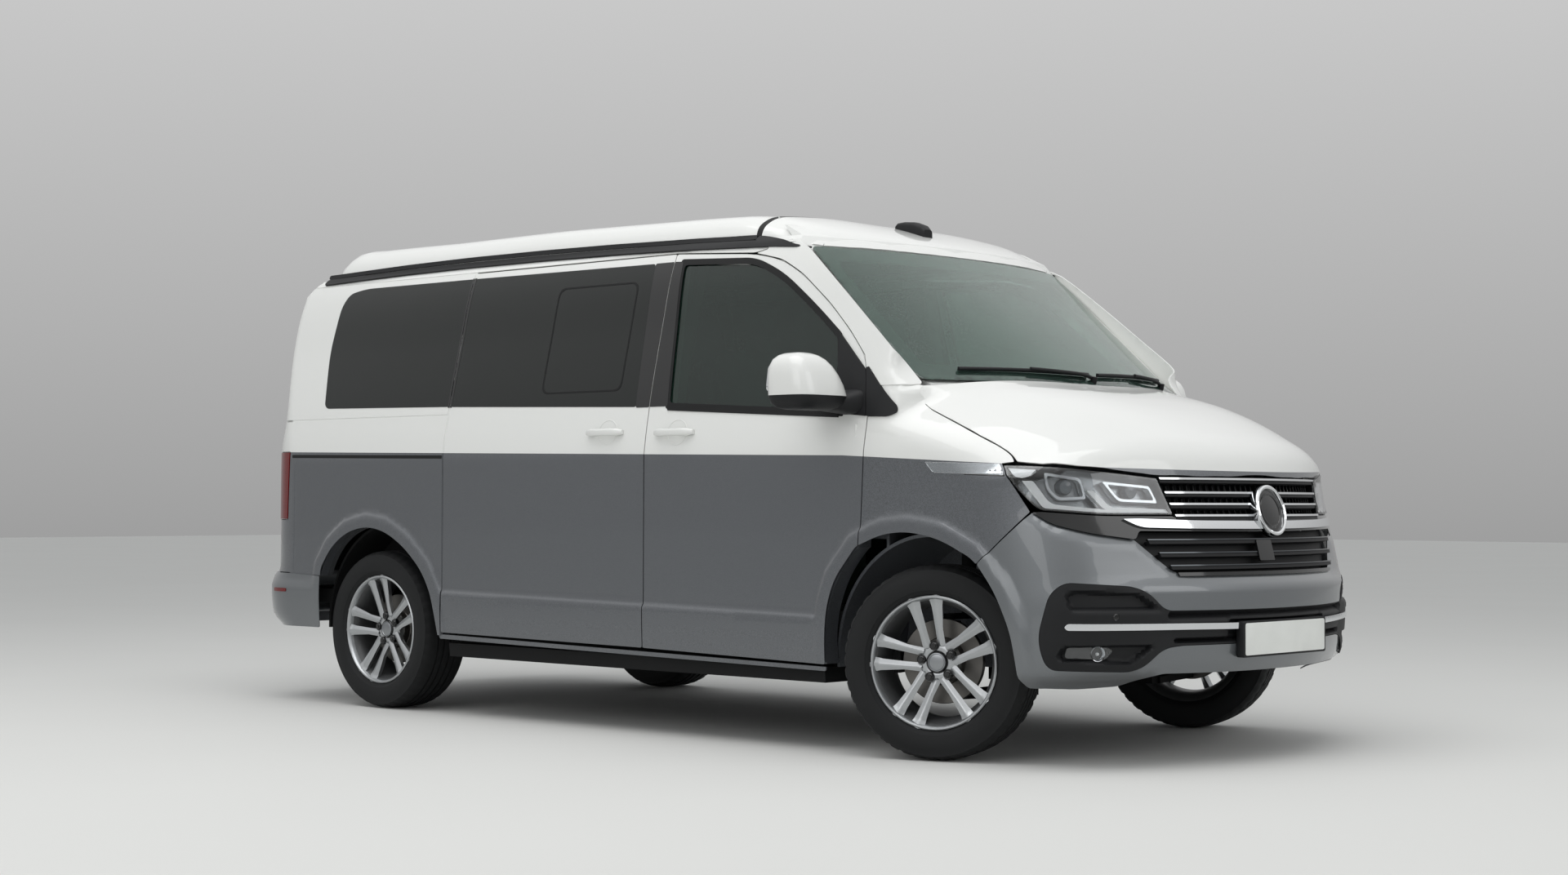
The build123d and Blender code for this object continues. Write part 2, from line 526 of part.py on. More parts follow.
def make_front_bumper():
    bumper = SHELL & side_prism(shrink(FRONT_BUMPER), *WIDE)
    bumper -= both_sides(FRONT_CUT)
    bumper -= front_prism(LOWER_OPEN, 1900, 2600)
    return bumper - towing_bore(TOW_FRONT, 2100, 2600)


write("front_bumper", make_front_bumper())


def make_grille(opening, slats, slat_h, ribs):
    """Bars across an opening, on a recessed web of upright ribs."""
    zone = front_prism(opening, 1900, 2600)
    low, high = opening[0][1], opening[1][1]
    half = max(opening[0][0], opening[1][0])
    bars = Part() + [block(1900, 2600, *WIDE, z - slat_h / 2, z + slat_h / 2) for z in slats]
    step = 2 * half / ribs
    uprights = Part() + [block(1900, 2600, y - 4, y + 4, low, high)
                         for y in [-half + (i + 0.5) * step for i in range(ribs)]]
    return (GRILLE_SKIN & zone & bars) + ((hull(20) - hull(GRILLE_DEPTH)) & zone & uprights)


def grille_opening(half, middle, edge):
    """A grille's outline, drawn in from the opening it fills."""
    return [(y - (edge if y > 0 else -edge), z + (edge if z < middle else -edge)) for y, z in half]


write("lower_grille", make_grille(grille_opening(LOWER_OPEN, 700, FIT), [652, 690, 726, 762, 787], 12, 8))
upper = make_grille(grille_opening(UPPER_OPEN, 900, 3), [848, 886, 926, 966], 14, 14)
feet = (hull(20) - hull(GRILLE_DEPTH)) & both_sides(block(1900, 2600, -310, -270, 815, 850))
write("upper_grille", upper + (feet - side_prism(shrink(FRONT_BUMPER, SHUT_GAP / 2 - FIT), *WIDE)))


def make_headlamps():
    zone = side_prism(shrink(LAMP), -1000, -400) - front_prism(symmetric([(504, 700), (540, 979), (540, 1100)]), 1900, 2600)
    lamp = LAMP_SKIN & zone
    strip = (OUTER - hull(40)) & side_prism(shrink(STRIP, 0.3), -1000, -600)
    return both_sides(lamp + strip)


write("headlamps", make_headlamps())
lamp_tail = (OUTER - hull(60)) & side_prism(shrink(TAIL_LAMP, 0.3), -1000, -798.3)
write("tail_lamps", both_sides(lamp_tail))
rear_bumper = (SHELL & side_prism(shrink(REAR_BUMPER, FIT), *WIDE)) - both_sides(REAR_CUT)
write("rear_bumper", rear_bumper - towing_bore(TOW_REAR, -2600, -2200))


# ---------------------------------------------------------------- floor and cabin
def make_floor():
    inner = HOUSE_OUT_Y
    floor = block(-2300, 1372, -inner, inner, FLOOR_Z - FLOOR_T, FLOOR_Z) & hull(WALL + 5)
    for house, wall in ((REAR_HOUSE, REAR_HOUSE_Y), (FRONT_HOUSE, FRONT_HOUSE_Y)):
        x, z, radius = house
        floor -= both_sides(arch_void((x, z, radius + HOUSE_T), -1000, -wall + HOUSE_T))
    floor += both_sides(arch_tunnel(REAR_HOUSE, -inner, -REAR_HOUSE_Y, 330))
    sill = front_prism([(-800, FLOOR_Z - FLOOR_T), (-inner, FLOOR_Z - FLOOR_T), (-inner, 300), (-930, 300),
                        (-925, SILL_Z), (-800, SILL_Z)], -985, 1120)
    sill = sill - arch_void((FRONT_HOUSE[0], FRONT_HOUSE[1], FRONT_HOUSE[2] + HOUSE_T), -1000, -400)
    sill -= arch_void((REAR_HOUSE[0], REAR_HOUSE[1], REAR_HOUSE[2] + HOUSE_T), -1000, -400)
    floor += both_sides(sill)
    floor -= block(REAR_AXLE_X - 70, REAR_AXLE_X + 110, -1000, 1000, 0, 430)
    return floor


write("floor_pan", make_floor())
DASH = [(1130, 930), (1150, 880), (1330, 860), (1359.7, 900), (1359.7, 1180), (1250, 1200), (1120, 1150), (1080, 1080)]
dash = side_prism(DASH, -DASH_HALF, DASH_HALF)
dash -= both_sides(arch_void((FRONT_HOUSE[0], FRONT_HOUSE[1], FRONT_HOUSE[2] + HOUSE_T + 5), -1000, -FRONT_HOUSE_Y + 20))
write("dashboard", dash)



def make_ring(radius, section):
    """A ring of eight-sided section about Z."""
    corners = [(radius + section * cos(radians(a)), section * sin(radians(a))) for a in range(22, 382, 45)]
    face = Face(Wire.make_polygon([Vector(r, 0, w) for r, w in corners], close=True))
    return Part() + Solid.revolve(face, 360, Axis.Z)


steer_at = Pos(905, 400, 1105) * Rot(0, 90 + STEERING_TILT, 0)
steering = steer_at * make_ring(178, 14) + steer_at * Cylinder(55, 34)
for a in (0, 120, 240):
    steering += Part() + steer_at * Rot(0, 0, a + 60) * Pos(110, 0, 0) * Box(140, 26, 14)
steering += Part() + steer_at * Pos(0, 0, 130) * Cylinder(26, 250)
write("steering_wheel", steering - side_prism(inset_outline(DASH, -FIT), 300, 500))


def seat(y, width, back_x=300.0):
    base = block(back_x + 40, back_x + 440, y - width / 2 + 40, y + width / 2 - 40, FLOOR_Z, 800)
    cushion = block(back_x, back_x + 510, y - width / 2, y + width / 2, 800, 930)
    cushion = fillet(cushion.edges().filter_by(Axis.Y), 40)
    back = side_prism([(back_x + 60, 900), (back_x + 160, 900), (back_x + 20, 1500), (back_x - 60, 1500),
                       (back_x - 75, 1450)], y - width / 2 + 10, y + width / 2 - 10)
    head = side_prism([(back_x - 45, 1520), (back_x + 15, 1500), (back_x + 30, 1540), (back_x - 5, 1690),
                       (back_x - 75, 1690), (back_x - 95, 1600)], y - 140, y + 140)
    stem = block(back_x - 45, back_x - 25, y - 60, y + 60, 1480, 1560)
    return base + cushion + back + head + stem


write("cab_seats", seat(400, 500) + seat(-400, 500))
bench = block(-1180, -640, -560, 420, FLOOR_Z, 790) + block(-1200, -620, -580, 430, 790, 920)
bench += side_prism([(-1190, 900), (-1080, 900), (-1200, 1500), (-1290, 1500)], -580, 430)
write("rear_bench", bench)
kitchen = block(-1900, -250, 470, 800, FLOOR_Z, 1220)
kitchen -= arch_void((REAR_HOUSE[0], REAR_HOUSE[1], REAR_HOUSE[2] + HOUSE_T + 2), 500, 1000)
kitchen -= bench
write("kitchen_unit", kitchen)

write("engine_block", block(1450, 2050, -380, 380, 330, 930))
write("fuel_tank", fillet(block(-300, 700, -700, -150, 250, FLOOR_Z - FLOOR_T).edges().filter_by(Axis.X), 40))


def make_exhaust():
    run = Part() + Pos(150, 250, 330) * Rot(0, 90, 0) * Cylinder(32, 2300)
    box = fillet(block(-1000, -350, 150, 450, 270, 400).edges().filter_by(Axis.X), 50)
    hangers = block(-700, -680, 290, 310, 380, FLOOR_Z - FLOOR_T) + block(700, 720, 240, 260, 350, FLOOR_Z - FLOOR_T)
    return run + box + hangers


write("exhaust", make_exhaust())

# ---------------------------------------------------------------- running gear
def make_subframe():
    frame = block(1460, 1660, -420, 420, 250, 300)
    for side in (-1, 1):
        y = side * KINGPIN_Y
        arm = flat_prism([(1470, side * 400, 200), (1650, side * 400, 200), (1566, y, 200), (1522, y, 200)], (0, 0, 26))
        frame += arm + block(1480, 1640, min(side * 360, side * 420), max(side * 360, side * 420), 200, 300)
        frame += cylinder_z(22, FRONT_AXLE_X, y, 200, 226)
        frame += cylinder_z(KINGPIN_R, FRONT_AXLE_X, y, 200, 500)
        frame += cylinder_z(20, FRONT_AXLE_X, y, 480, 500)
        frame += block(FRONT_AXLE_X - 14, FRONT_AXLE_X + 14, min(y, side * 640), max(y, side * 640), 480, 500)
        frame += cylinder_z(26, FRONT_AXLE_X, side * 640, 480, 767.0)
    frame += block(1480, 1640, -380, 380, 300, 329.7)
    return frame


write("front_subframe", make_subframe())


def steered(piece, side):
    """Turn a front piece to its parked steering angle about its kingpin."""
    pivot = Pos(FRONT_AXLE_X, side * KINGPIN_Y, 0)
    return pivot * Rot(0, 0, STEER_REST) * pivot.inverse() * piece


def make_knuckle(side):
    y = side * KINGPIN_Y
    body = block(FRONT_AXLE_X - 32, FRONT_AXLE_X + 32, y - 30, y + 30, 231, 475)
    out = side * (WHEEL_Y + 62)
    body += cylinder_y(SPINDLE_R, FRONT_AXLE_X, TYRE_R, min(y, out), max(y, out))
    cal_y = (side * 752, side * 822)
    body += block(FRONT_AXLE_X - 180, FRONT_AXLE_X - 156, min(cal_y), max(cal_y), TYRE_R - 45, TYRE_R + 45)
    arm_y = (side * 752, side * 772)
    body += block(FRONT_AXLE_X - 160, FRONT_AXLE_X - 30, min(arm_y), max(arm_y), TYRE_R - 40, TYRE_R + 40)
    return body - cylinder_z(KINGPIN_R + PIN_FIT, FRONT_AXLE_X, y, 150, 600)


def make_rear_axle():
    axle = Part() + Pos(REAR_AXLE_X, 0, TYRE_R) * Rot(90, 0, 0) * Cylinder(30, 2 * KINGPIN_Y)
    for side in (-1, 1):
        out = side * (WHEEL_Y + 62)
        inn = side * 600
        axle += cylinder_y(SPINDLE_R, REAR_AXLE_X, TYRE_R, min(inn, out), max(inn, out))
        arm = (side * 600, side * 660)
        axle += side_prism([(REAR_AXLE_X - 60, 300), (REAR_AXLE_X + 60, 300), (-960, 380), (-960, FLOOR_Z - FLOOR_T),
                            (-1050, FLOOR_Z - FLOOR_T), (REAR_AXLE_X + 60, 380), (REAR_AXLE_X - 60, 380)], min(arm), max(arm))
        axle += cylinder_y(60, REAR_AXLE_X, TYRE_R, min(side * 740, side * 775), max(side * 740, side * 775))
        cal_y = (side * 752, side * 822)
        axle += block(REAR_AXLE_X + 156, REAR_AXLE_X + 180, min(cal_y), max(cal_y), TYRE_R - 45, TYRE_R + 45)
        arm_y = (side * 752, side * 772)
        axle += block(REAR_AXLE_X + 30, REAR_AXLE_X + 160, min(arm_y), max(arm_y), TYRE_R - 40, TYRE_R + 40)
    return axle


def ring_of(profile):
    """A ring about the X axis of a sketch from r, offset points; turned to lie on the wheel's axis."""
    face = Face(Wire.make_polygon([Vector(r, 0, w) for r, w in profile], close=True))
    return Part() + Solid.revolve(face, 360, Axis.Z)


def make_tyre():
    half = TYRE_W / 2
    inner = RIM_SEAT_R + FIT
    profile = [(inner, -RIM_W / 2 + 14), (inner, RIM_W / 2 - 14), (RIM_LIP_R + 8, RIM_W / 2 - 13), (282, half),
               (322, half - 16), (TYRE_R, half - 52), (TYRE_R, -half + 52), (322, -half + 16), (282, -half),
               (RIM_LIP_R + 8, -RIM_W / 2 + 13)]
    return ring_of(profile)


def make_rim():
    """Rim barrel, five pairs of spokes, hub and brake disc; +Z is the outside."""
    edge = RIM_W / 2
    barrel = ring_of([(RIM_LIP_R - 12, edge), (RIM_LIP_R, edge), (RIM_LIP_R, edge - 10), (RIM_SEAT_R, edge - 12),
                      (200, 30), (200, -30), (RIM_SEAT_R, -edge + 12), (RIM_LIP_R, -edge + 10), (RIM_LIP_R, -edge),
                      (RIM_LIP_R - 12, -edge), (192, -36), (192, 36)])
    rim = barrel + Part() + Pos(0, 0, 50) * Cylinder(78, 44)
    rim += Pos(0, 0, 10) * Cylinder(60, 60)
    for i in range(5):
        for off in (-1, 1):
            spoke = flat_prism([(60, off * 8 - 9, 48), (60, off * 8 + 9, 48), (206, off * 26 + 12, 66), (206, off * 26 - 12, 66)], (0, 0, 22))
            rim += Rot(0, 0, i * 72 + 90) * spoke
    rim += Pos(0, 0, -12) * Cylinder(150, 24)
    return rim - Pos(0, 0, 0) * Cylinder(SPINDLE_R + PIN_FIT, 130)


def place_wheel(piece, side, x):
    """A wheel piece made about Z, outside up, put on its axle."""
    return Pos(x, side * WHEEL_Y, TYRE_R) * Rot(-90 * side, 0, 0) * piece


tyre, rim = make_tyre(), make_rim()
for side, side_name in ((-1, "right"), (1, "left")):
    write(f"knuckle_{side_name}", steered(make_knuckle(side), side))
    for name, piece in (("tyre", tyre), ("rim", rim)):
        write(f"{name}_front_{side_name}", steered(place_wheel(piece, side, FRONT_AXLE_X), side))
        write(f"{name}_rear_{side_name}", place_wheel(piece, side, REAR_AXLE_X))
write("rear_axle", make_rear_axle())
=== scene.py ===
"""Looks of a camper van with a pop-up roof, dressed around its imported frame.

Lengths in the tables are millimetres; the scene is in metres.
+X is forward, +Y the left side, +Z up, and the ground is at z 0.
"""
from math import atan2, cos, pi, radians, sin, sqrt

import bmesh
import bpy
import numpy as np
from mathutils import Matrix, Vector
from mathutils.geometry import delaunay_2d_cdt


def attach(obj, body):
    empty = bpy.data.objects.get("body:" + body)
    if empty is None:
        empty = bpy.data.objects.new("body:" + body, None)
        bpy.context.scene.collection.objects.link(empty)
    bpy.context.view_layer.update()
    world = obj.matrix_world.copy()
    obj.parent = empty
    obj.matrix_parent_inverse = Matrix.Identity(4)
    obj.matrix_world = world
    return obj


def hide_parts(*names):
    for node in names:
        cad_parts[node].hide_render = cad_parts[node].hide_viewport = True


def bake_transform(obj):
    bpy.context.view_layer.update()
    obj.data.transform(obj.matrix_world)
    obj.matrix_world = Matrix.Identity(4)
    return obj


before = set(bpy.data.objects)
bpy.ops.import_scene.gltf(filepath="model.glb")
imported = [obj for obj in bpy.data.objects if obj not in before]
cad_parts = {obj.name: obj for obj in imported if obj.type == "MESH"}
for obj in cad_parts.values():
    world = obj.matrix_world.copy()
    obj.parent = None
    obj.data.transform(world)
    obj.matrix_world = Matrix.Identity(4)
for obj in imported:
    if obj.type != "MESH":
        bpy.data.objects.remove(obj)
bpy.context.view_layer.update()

MM = 0.001

# ---------------------------------------------------------------- camera, light and floor
RENDER_WIDTH = 1920.0
FOCAL_PX, SENSOR = 2928.55, 36.0
EYE = Vector((6.8105, -7.3000, 0.8899))
YAW, PITCH, ROLL = 0.746357, -0.02690, 0.0025064


def add_camera():
    """The camera at the viewing angle, held level but for a slight roll."""
    back = Vector((sin(YAW) * cos(PITCH), -cos(YAW) * cos(PITCH), sin(PITCH)))
    right = (-back).cross(Vector((0, 0, 1))).normalized()
    up = right.cross(-back)
    turned = right * cos(ROLL) + up * sin(ROLL)
    raised = up * cos(ROLL) - right * sin(ROLL)
    camera = bpy.data.objects.new("camera", bpy.data.cameras.new("camera"))
    bpy.context.scene.collection.objects.link(camera)
    camera.matrix_world = Matrix((
        (turned.x, raised.x, back.x, EYE.x), (turned.y, raised.y, back.y, EYE.y),
        (turned.z, raised.z, back.z, EYE.z), (0, 0, 0, 1)))
    camera.data.sensor_width = SENSOR
    camera.data.lens = FOCAL_PX / RENDER_WIDTH * SENSOR
    camera.data.clip_end = 200
    bpy.context.scene.camera = camera


def add_lamp(name, place, aim, size, power):
    """A soft lamp at a place in metres, turned to face its aim."""
    lamp = bpy.data.objects.new(name, bpy.data.lights.new(name, "AREA"))
    bpy.context.scene.collection.objects.link(lamp)
    lamp.data.shape, lamp.data.size, lamp.data.size_y = "RECTANGLE", size[0], size[1]
    lamp.data.energy = power
    lamp.location = place
    lamp.rotation_euler = (Vector(aim) - Vector(place)).to_track_quat("-Z", "Y").to_euler()


# ---------------------------------------------------------------- materials
def srgb(code):
    """A hex colour as linear red, green, blue, alpha."""
    parts = [int(code[i:i + 2], 16) / 255 for i in (1, 3, 5)]
    return [c / 12.92 if c <= 0.04045 else ((c + 0.055) / 1.055) ** 2.4 for c in parts] + [1.0]


def add_node(tree, kind, settings=None, **links):
    """One node with its settings and its linked or set sockets."""
    node = tree.nodes.new("ShaderNode" + kind)
    for key, value in (settings or {}).items():
        setattr(node, key, value)
    for key, value in links.items():
        socket = node.inputs[int(key[1:])] if key[0] == "_" else node.inputs[key.replace("_", " ")]
        if isinstance(value, bpy.types.NodeSocket):
            tree.links.new(value, socket)
        else:
            socket.default_value = value
    return node


def new_material(name):
    """A material with its tree, its shader and the piece's own coordinates."""
    material = bpy.data.materials.new(name)
    material.use_nodes = True
    tree = material.node_tree
    place = add_node(tree, "TexCoord").outputs["Object"]
    return material, tree, tree.nodes["Principled BSDF"], place


def set_shader(shader, **values):
    """Set sockets of a shader that nothing is linked to."""
    for key, value in values.items():
        shader.inputs[key.replace("_", " ")].default_value = value


def bump_up(tree, height, strength, distance):
    """A bump from a height pattern; the distance is in metres."""
    return add_node(tree, "Bump", Strength=strength, Distance=distance, Height=height).outputs["Normal"]


WHITE_COAT = "#E6E7E4"
# slope and height at x 0, in metres, of the line between the two colours: along the side and on the nose
SPLIT_SIDE, SPLIT_NOSE = (-0.01556, 1.0740), (-0.050, 1.1160)
FLAKE_SCALE, PEEL_SCALE = 700.0, 260.0            # 1.4 mm flakes, so that they show; 4 mm orange peel
# the lining: half width inside which it starts, by height, its top, its middle and reach along x
LINING_LOW, LINING_HIGH, LINING_TOP = (1.06, 0.912), (1.83, 0.744), 1.815
LINING_MIDDLE, LINING_REACH, BOARD_FOOT = -0.8, 1.4, 0.9


def calculate(tree, operation, *values):
    """The result of one sum of linked or plain numbers."""
    links = {f"_{k}": value for k, value in enumerate(values)}
    return add_node(tree, "Math", {"operation": operation}, **links).outputs[0]


def mix_colours(tree, share, low, high):
    """A colour between two, by a linked share."""
    return add_node(tree, "Mix", {"data_type": "RGBA"}, _0=share, _6=low, _7=high).outputs[2]


def two_tone_paint(name="two_tone_lacquer", lining=False):
    """Acrylic base coat under clear lacquer, sprayed white over metallic grey.

    A wet-looking coat over a slightly wavy colour coat; the grey holds aluminium flakes that sparkle.
    With a lining, what lies more than 40 mm inside the skin is trimmed in pale grey board.
    """
    material, tree, shader, place = new_material(name)
    split = add_node(tree, "SeparateXYZ", Vector=place)
    x, z = split.outputs["X"], split.outputs["Z"]
    side, nose = (calculate(tree, "MULTIPLY_ADD", x, *line) for line in (SPLIT_SIDE, SPLIT_NOSE))
    above = calculate(tree, "SUBTRACT", z, calculate(tree, "MINIMUM", side, nose))
    mask = add_node(tree, "MapRange", _0=above, _1=-0.0005, _2=0.0005)
    flakes = add_node(tree, "TexNoise", Vector=place, Scale=FLAKE_SCALE, Detail=1.0)
    grey = add_node(tree, "ValToRGB", _0=flakes.outputs["Fac"])
    for stop, position, code in zip(grey.color_ramp.elements, (0.35, 0.68), ("#505356", "#72757A")):
        stop.position, stop.color = position, srgb(code)
    colour = mix_colours(tree, mask.outputs[0], grey.outputs[0], srgb(WHITE_COAT))
    metallic = add_node(tree, "MapRange", _0=mask.outputs[0], _3=0.55, _4=0.0)
    rough = add_node(tree, "MapRange", _0=mask.outputs[0], _3=0.38, _4=0.45)
    metallic, rough = metallic.outputs[0], rough.outputs[0]
    if lining:
        half = add_node(tree, "MapRange", _0=z, _1=LINING_LOW[0], _2=LINING_HIGH[0], _3=LINING_LOW[1],
                        _4=LINING_HIGH[1])
        inwards = calculate(tree, "LESS_THAN", calculate(tree, "ABSOLUTE", split.outputs["Y"]),
                            half.outputs[0])
        ends = calculate(tree, "COMPARE", x, LINING_MIDDLE, LINING_REACH)
        under = calculate(tree, "LESS_THAN", z, LINING_TOP)
        trim = calculate(tree, "MULTIPLY", inwards, calculate(tree, "MULTIPLY", ends, under))
        low = add_node(tree, "MapRange", _0=z, _1=BOARD_FOOT, _2=BOARD_FOOT + 0.005)
        board = mix_colours(tree, low.outputs[0], srgb("#3A3C3E"), srgb("#A6A7A4"))
        colour = mix_colours(tree, trim, colour, board)
        metallic = calculate(tree, "MULTIPLY", metallic, calculate(tree, "SUBTRACT", 1.0, trim))
        rough = calculate(tree, "MAXIMUM", rough, trim)
    tree.links.new(colour, shader.inputs["Base Color"])
    tree.links.new(metallic, shader.inputs["Metallic"])
    tree.links.new(rough, shader.inputs["Roughness"])
    peel = add_node(tree, "TexNoise", Vector=place, Scale=PEEL_SCALE, Detail=1.0)
    tree.links.new(bump_up(tree, peel.outputs["Fac"], 0.04, 0.0006), shader.inputs["Normal"])
    set_shader(shader, Coat_Weight=0.3 if lining else 0.9, Coat_Roughness=0.03)
    return material


def lacquer(name, code, metal=0.0, rough=0.42, coat=0.9):
    """One-colour car paint under clear lacquer."""
    material, tree, shader, place = new_material(name)
    cloud = add_node(tree, "TexNoise", Vector=place, Scale=900.0, Detail=1.0)
    tone = mix_colours(tree, cloud.outputs["Fac"], srgb(code),
                       [c * (0.97 if metal == 0 else 0.72) for c in srgb(code)[:3]] + [1.0])
    tree.links.new(tone, shader.inputs["Base Color"])
    peel = add_node(tree, "TexNoise", Vector=place, Scale=PEEL_SCALE, Detail=1.0)
    tree.links.new(bump_up(tree, peel.outputs["Fac"], 0.04, 0.0006), shader.inputs["Normal"])
    set_shader(shader, Metallic=metal, Roughness=rough, Coat_Weight=coat, Coat_Roughness=0.03)
    return material


def moulded(name, code, rough=0.55, grain_mm=1.2, strength=0.25, coat=0.0):
    """Injection-moulded plastic or rubber with a fine spark-eroded grain."""
    material, tree, shader, place = new_material(name)
    grain = add_node(tree, "TexNoise", Vector=place, Scale=1.0 / (grain_mm * MM), Detail=2.0)
    wear = add_node(tree, "TexNoise", Vector=place, Scale=6.0, Detail=3.0)
    dark = srgb(code)
    tone = mix_colours(tree, wear.outputs["Fac"], dark,
                       [min(1.0, c * 1.35 + 0.002) for c in dark[:3]] + [1.0])
    tree.links.new(tone, shader.inputs["Base Color"])
    tree.links.new(bump_up(tree, grain.outputs["Fac"], strength, 0.0004), shader.inputs["Normal"])
    set_shader(shader, Roughness=rough, Coat_Weight=coat, Coat_Roughness=0.04, Specular_IOR_Level=0.3)
    return material


def metal(name, code, rough, grain_mm=0.8, strength=0.05):
    """Plated, polished or cast metal: bright, with faint marks of its finishing."""
    material, tree, shader, place = new_material(name)
    marks = add_node(tree, "TexNoise", Vector=place, Scale=1.0 / (grain_mm * MM), Detail=2.0)
    tone = mix_colours(tree, marks.outputs["Fac"], srgb(code),
                       [c * 0.88 for c in srgb(code)[:3]] + [1.0])
    tree.links.new(tone, shader.inputs["Base Color"])
    tree.links.new(bump_up(tree, marks.outputs["Fac"], strength, 0.0003), shader.inputs["Normal"])
    set_shader(shader, Metallic=1.0, Roughness=rough)
    return material


def pane_glass(name, code, clear, drops):
    """Tempered float glass, tinted in the melt, with a few rain drops beaded on it."""
    material, tree, shader, place = new_material(name)
    set_shader(shader, Base_Color=srgb(code), Roughness=0.02, IOR=1.5, Transmission_Weight=clear)
    cells = add_node(tree, "TexVoronoi", {"distance": "EUCLIDEAN"}, Vector=place, Scale=110.0, Randomness=1.0)
    bead = add_node(tree, "MapRange", _0=cells.outputs["Distance"], _1=drops, _2=0.0)
    spread = add_node(tree, "TexNoise", Vector=place, Scale=9.0, Detail=2.0)
    some = add_node(tree, "MapRange", _0=spread.outputs["Fac"], _1=0.46, _2=0.6)
    height = calculate(tree, "MULTIPLY", bead.outputs[0], some.outputs[0])
    tree.links.new(bump_up(tree, height, 0.5, 0.0012), shader.inputs["Normal"])
    return material


def cloth(name, code, thread_mm=1.6):
    """Woven upholstery: two crossing thread directions with a slight fleck."""
    material, tree, shader, place = new_material(name)
    waves = pi / (thread_mm * MM) / 20
    weft, warp = (add_node(tree, "TexWave", {"bands_direction": axis}, Vector=place, Scale=waves)
                  for axis in "YZ")
    weave = calculate(tree, "MULTIPLY", weft.outputs["Fac"], warp.outputs["Fac"])
    fleck = add_node(tree, "TexNoise", Vector=place, Scale=140.0, Detail=3.0)
    tone = mix_colours(tree, fleck.outputs["Fac"], srgb(code),
                       [c * 1.8 for c in srgb(code)[:3]] + [1.0])
    tree.links.new(tone, shader.inputs["Base Color"])
    tree.links.new(bump_up(tree, weave, 0.5, 0.0008), shader.inputs["Normal"])
    set_shader(shader, Roughness=0.9, Sheen_Weight=0.25)
    return material


# ---------------------------------------------------------------- body form, in millimetres
HALF_WIDTH = 952.0
NOSE_R, NOSE_CORNER = 1500.0, 330.0
TAIL_R, TAIL_CORNER = 6000.0, 350.0
BONNET_CROWN = 244.0
SCREEN_BOW, SCREEN_HALF, SCREEN_FOOT_X = 194.0, 778.0, 1650
NOSE_X, TAIL_X = 2446.0, -2452.0
BODY_TABLE_STEP = 1.0
HALVINGS = 22                 # of a ray, until it meets the skin
# reach of the soft edges between the parts of the form
NOSE_SOFT, TAIL_SOFT, SCREEN_SOFT, COWL_SOFT, ROOF_SOFT = 46.0, 20.0, 16.0, 40.0, 12.0
# distances from which the form is looked at
SIDE_START, END_START, TOP_START = 1300.0, 2900.0, 2300.0
PLAN_START, ROLL_START, SLANT_START = 300.0, 1100.0, 1800.0
END_REACH, TOP_REACH, PLAN_REACH = 3000.0, 1600.0, 900.0

# height, half width of the body
SIDE_FORM = ((200, 925), (243, 930), (330, 948), (500, 952), (1060, 952), (1100, 948), (1231, 927),
             (1530, 862), (1828, 784), (1868, 762), (1884, 744), (1950, 722), (2010, 690))
# height, x on the centre plane, share of the nose's bow, share of the bonnet's side fall
NOSE_FORM = ((250, 2240, 1, 0), (282, 2300, 1, 0), (318, 2415, 1, 0), (405, 2440, 1, 0), (524, 2446, 1, 0),
             (648, 2424, 1, 0), (800, 2385, 1, 0), (890, 2352, 0.97, 0), (979, 2329, 0.93, 0.1),
             (1040, 2308, 0.85, 0.3), (1095, 2262, 0.75, 0.5), (1155, 2160, 0.6, 0.7), (1262, 1900, 0.2, 0.9),
             (1325, 1650, 0, 0.9), (1380, 1400, 0, 0.9))
# height, x on the centre plane, share of the tail's bow
TAIL_FORM = ((300, -2330, 1), (330, -2360, 1), (385, -2436, 1), (490, -2452, 1), (562, -2440, 1),
             (575, -2402, 1), (1110, -2396, 1), (1240, -2366, 1), (1815, -2262, 1), (1872, -2195, 1),
             (1950, -2080, 1))
# height, x on the centre plane, share of the windscreen's bow
SCREEN_FORM = ((1280, 1709, 1), (1325, 1650, 1), (1580, 1322, 0.85), (1836, 990, 0.64), (1880, 935, 0.64),
               (1925, 830, 0.5), (1975, 640, 0.3), (2000, 450, 0), (2012, 100, 0))
# x, height of the roof's crown on the centre plane
ROOF_FORM = ((-2120, 1842), (-2080, 1884), (-1995, 1975), (-1900, 1992), (-1200, 2001), (-480, 2008),
             (100, 2006), (450, 2000), (640, 1975), (840, 1925), (960, 1885))
# half width, fall of the roof below its crown
ROOF_FALL = ((0, 0), (330, 6), (560, 18), (640, 27), (700, 46), (722, 62), (744, 124))


def curve_table(rows, column):
    """A smooth curve through a table's rows as fine steps, never overshooting a row."""
    keys = np.array([row[0] for row in rows], float)
    values = np.array([row[column] for row in rows], float)
    gaps, slopes = np.diff(keys), np.diff(values) / np.diff(keys)
    tangents = np.concatenate(([slopes[0]], np.zeros(len(keys) - 2), [slopes[-1]]))
    for i in range(1, len(keys) - 1):
        if slopes[i - 1] * slopes[i] > 0:
            a, b = 2 * gaps[i] + gaps[i - 1], gaps[i] + 2 * gaps[i - 1]
            tangents[i] = (a + b) / (a / slopes[i - 1] + b / slopes[i])
    fine = np.arange(keys[0], keys[-1] + BODY_TABLE_STEP, BODY_TABLE_STEP)
    spot = np.clip(np.searchsorted(keys, fine, side="right") - 1, 0, len(gaps) - 1)
    h = gaps[spot]
    s = (fine - keys[spot]) / h
    smooth = ((2 * s ** 3 - 3 * s ** 2 + 1) * values[spot] + (s ** 3 - 2 * s ** 2 + s) * h * tangents[spot]
              + (3 * s ** 2 - 2 * s ** 3) * values[spot + 1] + (s ** 3 - s ** 2) * h * tangents[spot + 1])
    return fine, smooth


def read_curve(table, at):
    """A curve's value at one or many keys."""
    return np.interp(at, table[0], table[1])


